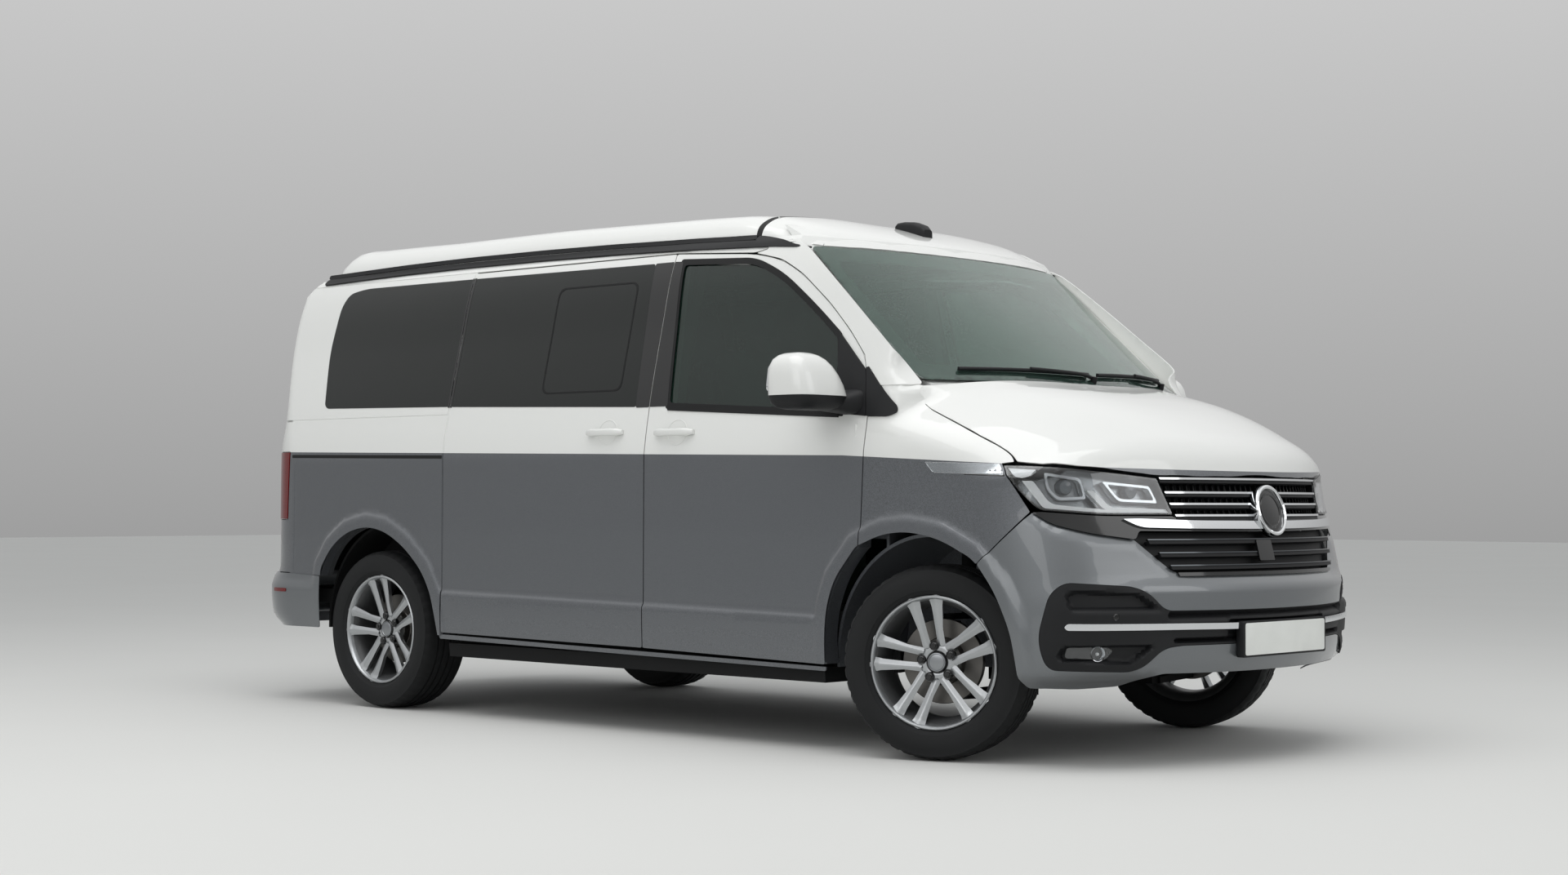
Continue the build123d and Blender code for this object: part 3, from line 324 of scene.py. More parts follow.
HALF_AT = curve_table(SIDE_FORM, 1)
NOSE_AT, NOSE_SHARE, FALL_SHARE = (curve_table(NOSE_FORM, column) for column in (1, 2, 3))
TAIL_AT = curve_table(TAIL_FORM, 1)
SCREEN_AT, SCREEN_SHARE = (curve_table(SCREEN_FORM, column) for column in (1, 2))
ROOF_AT = curve_table(ROOF_FORM, 1)
ROOF_FALL_AT = curve_table(ROOF_FALL, 1)


def plan_bow(y, radius, corner):
    """How far a body end lies behind its middle, at y from the centre plane."""
    centre_y = HALF_WIDTH - corner
    centre_x = sqrt((radius - corner) ** 2 - centre_y ** 2) - radius
    knee = radius * centre_y / (radius - corner)
    y = np.minimum(np.abs(y), HALF_WIDTH)
    middle = radius - np.sqrt(radius ** 2 - y ** 2)
    turned = -(centre_x + np.sqrt(np.maximum(corner ** 2 - (y - centre_y) ** 2, 0.0)))
    return np.where(y <= knee, middle, turned)


def ease(t):
    """0 to 1 with a soft start and a soft end."""
    return t * t * (3 - 2 * t)


def soft_min(a, b, reach):
    """The lesser of two depths, rounded over where they meet."""
    near = np.maximum(reach - np.abs(a - b), 0.0) / reach
    return np.minimum(a, b) - near * near * reach * 0.25


def side_depth(x, y, z):
    """Depth inside the side walls."""
    return (read_curve(HALF_AT, z) - np.abs(y)) * 0.97


def nose_depth(x, y, z):
    """Depth behind the nose and below the bonnet, whose sides fall away."""
    fall = BONNET_CROWN * (np.abs(y) / HALF_WIDTH) ** 4
    height = z
    for _ in range(12):
        height = z + read_curve(FALL_SHARE, height) * fall
    end = read_curve(NOSE_AT, height) - read_curve(NOSE_SHARE, height) * plan_bow(y, NOSE_R, NOSE_CORNER)
    lean = np.interp(height, (900, 1060, 1160, 1262, 1325), (1.0, 0.75, 0.4, 0.3, 0.25))
    return (end - x) * lean


def tail_depth(x, y, z):
    """Depth ahead of the bowed tail."""
    return (x - read_curve(TAIL_AT, z) - plan_bow(y, TAIL_R, TAIL_CORNER)) * 0.97


def screen_depth(x, y, z):
    """Depth behind the bowed windscreen."""
    bow = SCREEN_BOW * (np.abs(y) / SCREEN_HALF) ** 2
    return (read_curve(SCREEN_AT, z) - read_curve(SCREEN_SHARE, z) * bow - x) * 0.6


def roof_depth(x, y, z):
    """Depth below the roof's crown."""
    return read_curve(ROOF_AT, x) - read_curve(ROOF_FALL_AT, np.abs(y)) - z


def lower_body(x, y, z):
    """Depth below the skin of the lower body: sides, nose, bonnet and tail."""
    return soft_min(soft_min(side_depth(x, y, z), nose_depth(x, y, z), NOSE_SOFT), tail_depth(x, y, z),
                    TAIL_SOFT)


def cabin_body(x, y, z):
    """Depth below the skin of the cabin: sides, windscreen and tail."""
    return soft_min(soft_min(side_depth(x, y, z), screen_depth(x, y, z), SCREEN_SOFT), tail_depth(x, y, z),
                    TAIL_SOFT)


def joined_body(x, y, z):
    """Depth below the skin of the whole body: the windscreen's foot runs softly into the bonnet."""
    front = -soft_min(-nose_depth(x, y, z), -screen_depth(x, y, z), COWL_SOFT)
    corner = np.interp(z, (1270, 1330), (NOSE_SOFT, SCREEN_SOFT))
    return soft_min(soft_min(side_depth(x, y, z), front, corner), tail_depth(x, y, z), TAIL_SOFT)


def roof_body(x, y, z):
    """Depth below the skin of the roof, its sides and the brow over the windscreen."""
    return soft_min(soft_min(roof_depth(x, y, z), side_depth(x, y, z), ROOF_SOFT), screen_depth(x, y, z),
                    SCREEN_SOFT)


def cast(depth, starts, heads, reach):
    """Where rays from outside first meet a form; every array has one row per ray."""
    near, far = np.zeros(len(starts)), np.full(len(starts), float(reach))
    for _ in range(HALVINGS):
        middle = (near + far) / 2
        at = starts + heads * middle[:, None]
        outside = depth(at[:, 0], at[:, 1], at[:, 2]) < 0
        near, far = np.where(outside, middle, near), np.where(outside, far, middle)
    return starts + heads * far[:, None]


# ---------------------------------------------------------------- flat views thrown on the form
def side_view(depth):
    """Points given as x, height, seen from the right side."""
    def throw(points):
        starts = np.column_stack((points[:, 0], np.full(len(points), -SIDE_START), points[:, 1]))
        return cast(depth, starts, np.tile((0.0, 1.0, 0.0), (len(points), 1)), SIDE_START)
    return throw


def end_view(depth, toward):
    """Points given as y, height, seen from the front (-1) or the rear (1)."""
    def throw(points):
        starts = np.column_stack((np.full(len(points), -END_START * toward), points[:, 0], points[:, 1]))
        return cast(depth, starts, np.tile((float(toward), 0.0, 0.0), (len(points), 1)), END_REACH)
    return throw


def top_view(depth):
    """Points given as x, y, seen from above."""
    def throw(points):
        starts = np.column_stack((points[:, 0], points[:, 1], np.full(len(points), TOP_START)))
        return cast(depth, starts, np.tile((0.0, 0.0, -1.0), (len(points), 1)), TOP_REACH)
    return throw


class Plan:
    """The body's outline from above, unrolled: u is x along the side and runs on round the corners."""
    nose_tangent = NOSE_X - float(plan_bow(HALF_WIDTH, NOSE_R, NOSE_CORNER))
    tail_tangent = TAIL_X + float(plan_bow(HALF_WIDTH, TAIL_R, TAIL_CORNER))
    nose_turn = pi / 2 - np.arcsin((HALF_WIDTH - NOSE_CORNER) / (NOSE_R - NOSE_CORNER))
    tail_turn = pi / 2 - np.arcsin((HALF_WIDTH - TAIL_CORNER) / (TAIL_R - TAIL_CORNER))
    nose_knee = nose_tangent + NOSE_CORNER * nose_turn
    tail_knee = tail_tangent - TAIL_CORNER * tail_turn
    nose_middle = nose_knee + NOSE_R * (pi / 2 - nose_turn)
    tail_middle = tail_knee - TAIL_R * (pi / 2 - tail_turn)


def plan_ray(u):
    """Point and outward heading on the unrolled outline."""
    u = np.asarray(u, float)
    left = (u > Plan.nose_middle) | (u < Plan.tail_middle)
    u = np.where(u > Plan.nose_middle, 2 * Plan.nose_middle - u, u)
    u = np.where(u < Plan.tail_middle, 2 * Plan.tail_middle - u, u)
    turn = np.clip((u - Plan.nose_tangent) / NOSE_CORNER, 0, Plan.nose_turn)
    turn = turn + np.maximum(u - Plan.nose_knee, 0) / NOSE_R
    back = np.clip((Plan.tail_tangent - u) / TAIL_CORNER, 0, Plan.tail_turn)
    back = back + np.maximum(Plan.tail_knee - u, 0) / TAIL_R
    head_x, head_y = np.sin(turn) - np.sin(back), -np.cos(turn - back)
    hub = HALF_WIDTH - NOSE_CORNER
    x = np.where(u > Plan.nose_knee, NOSE_X - NOSE_R + NOSE_R * np.sin(turn),
                 np.where(u > Plan.nose_tangent, Plan.nose_tangent + NOSE_CORNER * np.sin(turn), u))
    y = np.where(u > Plan.nose_knee, -NOSE_R * np.cos(turn),
                 np.where(u > Plan.nose_tangent, -hub - NOSE_CORNER * np.cos(turn), -HALF_WIDTH))
    hub = HALF_WIDTH - TAIL_CORNER
    x = np.where(u < Plan.tail_knee, TAIL_X + TAIL_R - TAIL_R * np.sin(back),
                 np.where(u < Plan.tail_tangent, Plan.tail_tangent - TAIL_CORNER * np.sin(back), x))
    y = np.where(u < Plan.tail_knee, -TAIL_R * np.cos(back),
                 np.where(u < Plan.tail_tangent, -hub - TAIL_CORNER * np.cos(back), y))
    return x, np.where(left, -y, y), head_x, np.where(left, -head_y, head_y)


def outward(u, move):
    """Moves square to the unrolled outline, as rows of x, y, z."""
    _, _, head_x, head_y = plan_ray(u)
    return np.column_stack((head_x * move, head_y * move, np.zeros(len(u))))


def heading_at(u):
    """Point and outward heading on the unrolled outline, as four plain numbers."""
    return (float(value[0]) for value in plan_ray(np.array([u])))


def unroll(x, y):
    """The u of a point near the body's outline, on the right side."""
    y = -abs(y)
    if x >= Plan.nose_tangent:
        turn = atan2(x - Plan.nose_tangent, -(y + HALF_WIDTH - NOSE_CORNER))
        if turn < Plan.nose_turn:
            return Plan.nose_tangent + NOSE_CORNER * max(turn, 0)
        return Plan.nose_middle - NOSE_R * atan2(-y, x - (NOSE_X - NOSE_R))
    if x <= Plan.tail_tangent:
        turn = atan2(Plan.tail_tangent - x, -(y + HALF_WIDTH - TAIL_CORNER))
        if turn < Plan.tail_turn:
            return Plan.tail_tangent - TAIL_CORNER * max(turn, 0)
        return Plan.tail_middle + TAIL_R * atan2(-y, (TAIL_X + TAIL_R) - x)
    return x


def plan_view(depth):
    """Points given as u, height: seen square to the body all the way round."""
    def throw(points):
        x, y, head_x, head_y = plan_ray(points[:, 0])
        starts = np.column_stack((x + PLAN_START * head_x, y + PLAN_START * head_y, points[:, 1]))
        heads = np.column_stack((-head_x, -head_y, np.zeros(len(points))))
        return cast(depth, starts, heads, PLAN_REACH)
    return throw


def slant_view(depth, heading, core):
    """A throw along a slanting heading, down to the plane through a core point.

    It comes with the flat view of points in space that the throw starts from.
    """
    ahead = np.array(heading, float) / np.linalg.norm(heading)
    across = np.cross(ahead, (0.0, 0.0, 1.0))
    across /= np.linalg.norm(across)
    up = np.cross(across, ahead)
    base = np.array(core, float) @ ahead

    def throw(points):
        ends = points[:, :1] * across + points[:, 1:2] * up + base * ahead
        return cast(depth, ends - SLANT_START * ahead, np.tile(ahead, (len(points), 1)), SLANT_START)

    def flat(spots):
        spots = np.asarray(spots, float)
        return np.column_stack((spots @ across, spots @ up))
    return throw, flat


ROLL_AXIS_Z, ROLL_ARC = 1500.0, 600.0


def roll_view(depth):
    """Points given as x, arc: seen from all round a lengthwise line inside the roof; arc is + to the left."""
    def throw(points):
        turn = points[:, 1] / ROLL_ARC
        heads = np.column_stack((np.zeros(len(points)), -np.sin(turn), -np.cos(turn)))
        starts = np.column_stack((points[:, 0], np.zeros(len(points)), np.full(len(points), ROLL_AXIS_Z)))
        starts = starts - heads * ROLL_START
        return cast(depth, starts, heads, ROLL_START)
    return throw


def arc_of(y, z):
    """The arc at which a spot of the section is seen from the roll axis."""
    return atan2(y, z - ROLL_AXIS_Z) * ROLL_ARC


# ---------------------------------------------------------------- outlines cut out of sheets
def soften(rows, radius):
    """An outline with its corners rounded; a row may end with its own radius."""
    points = [np.array(row[:2], float) for row in rows]
    radii = [row[2] if len(row) > 2 else radius for row in rows]
    out = []
    for i, corner in enumerate(points):
        before, after = points[i - 1] - corner, points[(i + 1) % len(points)] - corner
        a, b = np.linalg.norm(before), np.linalg.norm(after)
        reach = min(radii[i], 0.49 * a, 0.49 * b)
        if reach < 0.5:
            out.append(corner)
            continue
        start, end = corner + before / a * reach, corner + after / b * reach
        for t in np.linspace(0, 1, 7):
            out.append((1 - t) ** 2 * start + 2 * t * (1 - t) * corner + t * t * end)
    return np.array(out)


def divide(loop, step):
    """A closed loop with no edge longer than a step."""
    out = []
    for a, b in zip(loop, np.roll(loop, -1, axis=0)):
        count = max(1, int(np.ceil(np.linalg.norm(b - a) / step)))
        out.extend(a + (b - a) * k / count for k in range(count))
    return np.array(out)


def along(line, step):
    """Points on an open line, at most a step apart; its last end is left out."""
    out = []
    for a, b in zip(line, line[1:]):
        count = max(2, int(np.ceil(np.linalg.norm(b - a) / step)))
        out.extend(a + (b - a) * t for t in np.linspace(0, 1, count, endpoint=False))
    return np.array(out)


def inside(points, loop):
    """Which points lie inside a closed loop."""
    hit = np.zeros(len(points), bool)
    for (x0, y0), (x1, y1) in zip(loop, np.roll(loop, -1, axis=0)):
        if y0 == y1:
            continue
        crosses = (y0 > points[:, 1]) != (y1 > points[:, 1])
        hit ^= crosses & (points[:, 0] < (x1 - x0) * (points[:, 1] - y0) / (y1 - y0) + x0)
    return hit


def distance_to(points, loop, closed=True):
    """How far each point lies from a loop or line."""
    ends = np.roll(loop, -1, axis=0) if closed else loop[1:]
    starts = loop if closed else loop[:-1]
    best = np.full(len(points), 1e9)
    for a, b in zip(starts, ends):
        run = b - a
        t = np.clip(((points - a) @ run) / max(run @ run, 1e-9), 0, 1)
        best = np.minimum(best, np.linalg.norm(points - a - t[:, None] * run, axis=1))
    return best


def draw_in(rows, gap):
    """An outline moved inwards by half a shut gap, keeping each row's radius."""
    count = len(rows)
    area = sum(rows[i - 1][0] * rows[i][1] - rows[i][0] * rows[i - 1][1] for i in range(count))
    turn = 1 if area > 0 else -1
    out = []
    for i in range(count):
        p, q, r = (np.array(rows[k][:2], float) for k in (i - 1, i, (i + 1) % count))
        a, b = (q - p) / np.linalg.norm(q - p), (r - q) / np.linalg.norm(r - q)
        na, nb = np.array((-a[1], a[0])) * turn, np.array((-b[1], b[0])) * turn
        moved = q + (na + nb) * gap / max(1 + na @ nb, 0.25)
        out.append((moved[0], moved[1]) + tuple(rows[i][2:]))
    return out


CREASE_CLEAR = 2.0            # a crease stops this short of an outline


def cut_sheet(outline, holes, step, radius, creases=()):
    """Triangles filling an outline less its holes, with edges along the creases.

    Gives points and faces in the flat view.
    """
    rims = [divide(soften(loop, radius), step * 0.6) for loop in [outline] + list(holes)]
    low, high = rims[0].min(axis=0), rims[0].max(axis=0)
    columns = np.arange(low[0] + step / 2, high[0], step)
    lines = np.arange(low[1] + step / 2, high[1], step * 0.866)
    grid = np.array([(x + (step / 2 if k % 2 else 0), z) for k, z in enumerate(lines) for x in columns])
    grid = grid.reshape(-1, 2)
    keep = inside(grid, rims[0]) & (distance_to(grid, rims[0]) > step * 0.45)
    for rim in rims[1:]:
        keep &= ~inside(grid, rim) & (distance_to(grid, rim) > step * 0.45)
    rows = []
    for crease in creases:
        crease = np.array(crease, float)
        row = along(crease, step)
        held = inside(row, rims[0]) & (distance_to(row, rims[0]) > CREASE_CLEAR)
        for rim in rims[1:]:
            held &= ~inside(row, rim) & (distance_to(row, rim) > CREASE_CLEAR)
        rows.append(row[held])
        keep &= distance_to(grid, crease, False) > step * 0.35
    points = np.vstack(rims + [grid[keep]] + rows)
    edges, first = [], len(points) - sum(len(row) for row in rows)
    for row in rows:
        edges += [(first + k, first + k + 1) for k in range(len(row) - 1)
                  if np.linalg.norm(row[k + 1] - row[k]) < step * 1.2]
        first += len(row)
    first = 0
    for rim in rims:
        edges += [(first + k, first + (k + 1) % len(rim)) for k in range(len(rim))]
        first += len(rim)
    found = delaunay_2d_cdt([Vector(p) for p in points], edges, [], 1, 1e-4)
    points, faces = np.array([tuple(v) for v in found[0]]), np.array([f for f in found[2] if len(f) == 3])
    middles = points[faces].mean(axis=1)
    keep = inside(middles, rims[0])
    for rim in rims[1:]:
        keep &= ~inside(middles, rim)
    return points, faces[keep]


# ---------------------------------------------------------------- mesh helpers
def make_mesh(name, verts, faces):
    """A new object from points in millimetres."""
    mesh = bpy.data.meshes.new(name)
    spots = [tuple(float(c) * MM for c in v) for v in verts]
    mesh.from_pydata(spots, [], [tuple(int(i) for i in f) for f in faces])
    piece = bpy.data.objects.new(name, mesh)
    bpy.context.scene.collection.objects.link(piece)
    return piece


def select_only(piece):
    """Make this piece the only selected and the active one."""
    for other in bpy.context.selected_objects:
        other.select_set(False)
    piece.select_set(True)
    bpy.context.view_layer.objects.active = piece


def apply_modifiers(piece):
    """Turn a piece's modifiers into mesh, in their order."""
    select_only(piece)
    for modifier in list(piece.modifiers):
        bpy.ops.object.modifier_apply(modifier=modifier.name)


def smooth(piece, angle=35.0):
    """Shade smooth, but for edges sharper than the angle."""
    select_only(piece)
    bpy.ops.object.shade_smooth_by_angle(angle=radians(angle))


def thicken(piece, wall, edge=2.0, segments=2):
    """Give a sheet its wall inwards and roll its edges over."""
    solid = piece.modifiers.new("wall", "SOLIDIFY")
    solid.thickness, solid.offset = wall * MM, -1.0
    if edge:
        bevel = piece.modifiers.new("edge", "BEVEL")
        bevel.width, bevel.segments, bevel.limit_method = edge * MM, segments, "ANGLE"
        bevel.angle_limit = radians(50)
        bevel.harden_normals = False
    even = piece.modifiers.new("even", "WEIGHTED_NORMAL")
    even.keep_sharp = True
    for polygon in piece.data.polygons:
        polygon.use_smooth = True
    apply_modifiers(piece)
    return piece


def panel(name, throw, outline, holes=(), step=24.0, radius=8.0, wall=3.0, edge=1.6, out=(0, 0, 1), lift=0.0,
          shape=None, creases=()):
    """A body panel: an outline cut from a sheet that lies on the body's form."""
    points, faces = cut_sheet(outline, holes, step, radius, creases)
    verts = throw(points)
    if shape is not None:
        verts = shape(points, verts)
    a, b, c = (verts[faces[:, k]] for k in range(3))
    normals = np.cross(b - a, c - a)
    if (normals.sum(axis=0) @ np.array(out, float)) < 0:
        faces = faces[:, ::-1]
    piece = make_mesh(name, verts, faces)
    if lift:
        piece.data.update()
        moves = [v.normal * lift * MM for v in piece.data.vertices]
        for vertex, move in zip(piece.data.vertices, moves):
            vertex.co += move
    return thicken(piece, wall, edge) if wall else piece


def mirrored(piece, name):
    """The same piece on the other side of the centre plane."""
    twin = bpy.data.objects.new(name, piece.data.copy())
    bpy.context.scene.collection.objects.link(twin)
    twin.data.transform(Matrix.Scale(-1, 4, (0, 1, 0)))
    twin.data.flip_normals()
    return twin


def join(pieces, name):
    """One object from several, which keeps the first one's place."""
    select_only(pieces[0])
    for piece in pieces:
        piece.select_set(True)
    bpy.ops.object.join()
    joined = bpy.context.view_layer.objects.active
    joined.name = joined.data.name = name
    return joined


def dress(piece, body, material, slot, *nodes):
    """Finish a piece: its material, body, and the CAD nodes it stands for; the slot is not used."""
    if not piece.data.materials:
        piece.data.materials.append(material)
    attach(piece, body)
    if nodes:
        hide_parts(*nodes)
    return piece


def dress_pair(piece, name, bodies, material, slot, nodes=None):
    """A right-hand piece and its mirror image on the left."""
    twin = mirrored(piece, name + "_left")
    piece.name = piece.data.name = name + "_right"
    for side, one in (("right", piece), ("left", twin)):
        own = [n.format(side) for n in nodes] if nodes else []
        dress(one, bodies.format(side), material, slot, *own)
    return piece, twin


# ---------------------------------------------------------------- shared lines of the body, x or u and height
FRONT_ARCH = [(1148, 306), (1147, 414), (1157, 516), (1193, 615), (1290, 727), (1406, 774), (1516, 787),
              (1661, 766), (1800, 703), (1909, 587), (1967, 460), (1986, 354), (1995, 279)]
REAR_ARCH = [(-1826, 330), (-1832, 487), (-1818, 597), (-1747, 686), (-1640, 752), (-1508, 780), (-1378, 763),
             (-1241, 698), (-1122, 600), (-1062, 508), (-1034, 415), (-1014, 332)]
DOOR_FRONT = [(1304, 735, 5), (1317, 992, 200), (1323, 1131, 200), (1325, 1194, 100), (1297, 1341, 60),
              (1273, 1412, 60), (1189, 1502, 90), (1071, 1609, 120), (909, 1729, 120), (790, 1790, 90),
              (644, 1823, 120)]
BONNET_EDGE = [(1460, 1299, 3), (1479, 1262, 20), (1504, 1234, 20), (1543, 1212, 20), (1605, 1189, 30),
               (1700, 1153, 30), (1788, 1116, 30), (1865, 1082, 20), (1905, 1061, 12),
               (1929, 1045, 12), (1953, 1026, 3)]
B_SHUT = 211.0
SLIDING_REAR = -994.0
SHUT = 2.3                    # half of the gap between two panels
EDGE_RING = 3.0               # pieces that lie on a skin stand this far out
ARCH_SOFT = 70.0              # rounding where an outline follows a wheel arch
FLARE_REACH, FLARE_OUT, SWAGE_OUT = 66.0, 11.0, 9.0


def swage_at(x):
    """Height of the crease along the lower side, at x."""
    return 497 - 0.0142 * (x - 100)


def beside(line, gap):
    """A line moved outwards from a wheel arch."""
    line = np.array(line, float)
    run = np.gradient(line, axis=0)
    return line + np.column_stack((-run[:, 1], run[:, 0])) / np.linalg.norm(run, axis=1)[:, None] * gap


SIDE_CREASES = ([[(x, swage_at(x) + g) for x in (-1030, 1190)] for g in (9, 0, -9)]
                + [beside(arch, gap) for arch in (FRONT_ARCH, REAR_ARCH) for gap in (44, 55, 66)])


def arch_flare(points, verts):
    """The side panels swell towards the wheel arches, and step out below the swage line."""
    near = np.minimum(distance_to(points, np.array(FRONT_ARCH, float), False),
                      distance_to(points, np.array(REAR_ARCH, float), False))
    t = np.clip((1 - near / FLARE_REACH) * 3, 0, 1)
    below = np.clip((swage_at(points[:, 0]) + 9 - points[:, 1]) / 18, 0, 1)
    return verts + outward(points[:, 0], np.maximum(FLARE_OUT * ease(t), SWAGE_OUT * ease(below)))


ON_SIDE = side_view(cabin_body)
ROUND_LOW = plan_view(lower_body)
ROUND_JOINED = plan_view(joined_body)
ROUND_HIGH = plan_view(cabin_body)


def on_side(x, z):
    """The spot of the right side at x and height."""
    return ON_SIDE(np.array([(x, z)], float))[0]


def on_front(y, z):
    """The spot of the front at y and height."""
    return end_view(cabin_body, -1)(np.array([(y, z)], float))[0]


def on_round(u, z):
    """The spot of the whole body at u and height."""
    return ROUND_JOINED(np.array([(u, z)], float))[0]


def at_tail(y, z):
    """The u of the tail's surface at this distance from the centre plane."""
    spot = end_view(cabin_body, 1)(np.array([(-abs(y), z)], float))[0]
    return unroll(spot[0], spot[1])


# ---------------------------------------------------------------- build: body panels
add_camera()
paint = two_tone_paint()
white = lacquer("white_lacquer", WHITE_COAT)
grey = lacquer("metallic_grey_lacquer", "#75797C", metal=0.55, rough=0.38)
# high-gloss plastic: near black with a mirror-like sheen
black_gloss = moulded("gloss_black_trim", "#0B0C0D", rough=0.12, grain_mm=6, strength=0.02, coat=0.6)
# grained and rubbery blacks: dull, so that gaps and trims read as dark lines
black_plastic = moulded("grained_black_plastic", "#101113", rough=0.55, grain_mm=1.2, strength=0.35)
seal_rubber = moulded("seal_rubber", "#0A0B0C", rough=0.6, grain_mm=1.0, strength=0.2)
# panes: dark behind the doors, pale green ahead of them, with beaded drops
side_pane = pane_glass("privacy_glass", "#06100D", 0.3, 0.35)
clear_pane = pane_glass("green_tinted_glass", "#93B5A8", 0.93, 0.35)
side_clear = pane_glass("door_window_glass", "#4C6A5F", 0.93, 0.35)
red_lens = pane_glass("red_lamp_acrylic", "#7A0A0C", 0.25, 0.0)
# plated metals: the bright lines of the nose and the lamps' insides; a grey metal slat edge is a painted
# highlight
chrome = metal("chrome_plate", "#E2E4E6", rough=0.07, grain_mm=2.5, strength=0.02)
chrome_dark = metal("satin_plate", "#8D9092", rough=0.22, grain_mm=1.5, strength=0.03)
# grey metal on the lower slats' edges: a painted highlight along gloss black bars
slat_highlight_metal = metal("gloss_black_bar_painted_highlight", "#55585B", rough=0.12, grain_mm=4.0, strength=0.02)
lamp_silver = metal("aluminised_reflector", "#C9CCCF", rough=0.16, grain_mm=3.0, strength=0.08)
# lamp plastics: dark bowls, milky light guides, glossy lens modules, clear covers
lamp_dark = moulded("lamp_bowl_plastic", "#15171A", rough=0.3, grain_mm=2.0, strength=0.08, coat=0.5)
light_guide = moulded("light_guide_acrylic", "#EDF0F2", rough=0.25, grain_mm=3.0, strength=0.05, coat=0.8)
lamp_lens_glass = moulded("lamp_module_lens", "#4A5157", rough=0.05, grain_mm=5.0, strength=0.02, coat=1.0)
clear_cover = pane_glass("clear_lamp_cover", "#F4F6F7", 1.0, 0.0)
plate_white = moulded("plate_reflective_sheet", "#DADCD8", rough=0.4, grain_mm=1.2, strength=0.12, coat=0.3)
# wheels: matt tread, silver spokes that catch the light, a barrel behind them painted dark grey as painted
# shade, bare brake iron
tyre_rubber = moulded("tyre_rubber", "#151617", rough=0.72, grain_mm=2.0, strength=0.25)
silver_alloy = lacquer("silver_alloy_lacquer", "#B9BCBE", metal=0.75, rough=0.3, coat=0.5)
# the silver barrel's dark grey is painted shade, for the shade behind the spokes
shaded_barrel_alloy = lacquer("barrel_painted_shade_alloy", "#4E4F50", metal=0.4, rough=0.5, coat=0.1)
satin_cap = metal("satin_cap_metal", "#9A9DA0", rough=0.3, grain_mm=1.5, strength=0.04)
brake_steel = metal("brake_disc_iron", "#6E6C69", rough=0.38, grain_mm=1.4, strength=0.2)
# inside and underneath: quiet, matt surfaces
underbody = moulded("underbody_coating", "#08090A", rough=0.8, grain_mm=4.0, strength=0.5)
dash_plastic = moulded("soft_dash_plastic", "#26282A", rough=0.6, grain_mm=1.6, strength=0.3)
laminate = moulded("furniture_laminate", "#B7B2A8", rough=0.45, grain_mm=3.0, strength=0.05, coat=0.2)
seat_cloth = cloth("seat_cloth_grey", "#4B4D50")
tent_cloth = cloth("tent_cloth_grey", "#6F7276", 1.2)

# doors and side walls
DOOR = ([(B_SHUT, 330, 10), (1147, 311, 8)] + [p + (ARCH_SOFT,) for p in FRONT_ARCH[1:4]] + [(1290, 727, 4)]
        + DOOR_FRONT + [(B_SHUT, 1852, 10)])
DOOR_GLASS = [(311, 1254, 14), (1195, 1206, 10), (1144, 1484, 20), (993, 1601, 90), (809, 1729, 90),
              (650, 1795, 60), (259, 1815, 16)]
SLIDING = [(SLIDING_REAR, 342, 10), (B_SHUT, 330, 10), (B_SHUT, 1852, 10), (SLIDING_REAR, 1852, 10)]
SLIDING_GLASS = [(-981, 1280, 8), (136, 1252, 10), (107, 1820, 14), (-981, 1828, 8)]
QUARTER_GLASS = [(-1002, 1281, 8), (-1002, 1828, 8), (-1738, 1830, 60), (-1846, 1812, 60), (-1882, 1757, 60),
                 (-1902, 1550, 60), (-1865, 1310, 40), (-1842, 1294, 30)]

door_skin = panel("door_skin", ON_SIDE, draw_in(DOOR, SHUT), [draw_in(DOOR_GLASS, 2)], out=(0, -1, 0),
                  shape=arch_flare, lift=1.0, creases=SIDE_CREASES)
dress_pair(door_skin, "door_skin", "door_{}", paint, "paint")
sliding_skin = panel("sliding_door_skin", ON_SIDE, draw_in(SLIDING, SHUT), [draw_in(SLIDING_GLASS, 2)],
                     out=(0, -1, 0), shape=arch_flare, lift=1.0, creases=SIDE_CREASES)
dress(sliding_skin, "body", paint, "paint")


def tail_row(y, z, *radius):
    """An outline row on the tail, at y and height."""
    return (at_tail(y, z), z) + radius


QUARTER_LOW = ([(-998, 332, 4), (-1014, 332, 4)] + [p + (ARCH_SOFT,) for p in REAR_ARCH[-2:1:-1]]
               + [(-1824, 562, 4), (-2085, 571, 10), tail_row(797, 571, 6), tail_row(797, 803, 4),
                  (-2088, 803, 8), (-2070, 1109, 8), tail_row(797, 1109, 4), tail_row(783, 1240, 4),
                  (-1000, 1246, 4)])
QUARTER_HIGH = [(-1000, 1251, 4), tail_row(782, 1250, 4), tail_row(724, 1700, 60), tail_row(710, 1852, 8),
                (-998, 1854, 8)]
low = panel("quarter_skin_low", ROUND_HIGH, QUARTER_LOW, out=(0, -1, 0), shape=arch_flare, lift=1.0,
            creases=SIDE_CREASES)
dress_pair(low, "quarter_skin_low", "body", paint, "paint")
high = panel("quarter_skin_high", ROUND_HIGH, QUARTER_HIGH, [draw_in(QUARTER_GLASS, 2)], out=(0, -1, 0),
             lift=1.0)
dress_pair(high, "quarter_skin_high", "body", paint, "paint")
fixed = mirrored(sliding_skin, "side_skin_left")
dress(fixed, "body", paint, "paint")

# the white strip over the doors, between them and the black rails
cant = panel("cant_strip", ROUND_HIGH, [tail_row(706, 1857, 4), (211, 1856, 4), (640, 1828, 60),
                                        (696, 1839, 3), (698, 1857, 3), (862, 1857, 4), (846, 1884, 4),
                                        tail_row(700, 1884, 4)],
             out=(0, -1, 0), lift=1.0)
dress_pair(cant, "cant_strip", "body", paint, "paint")

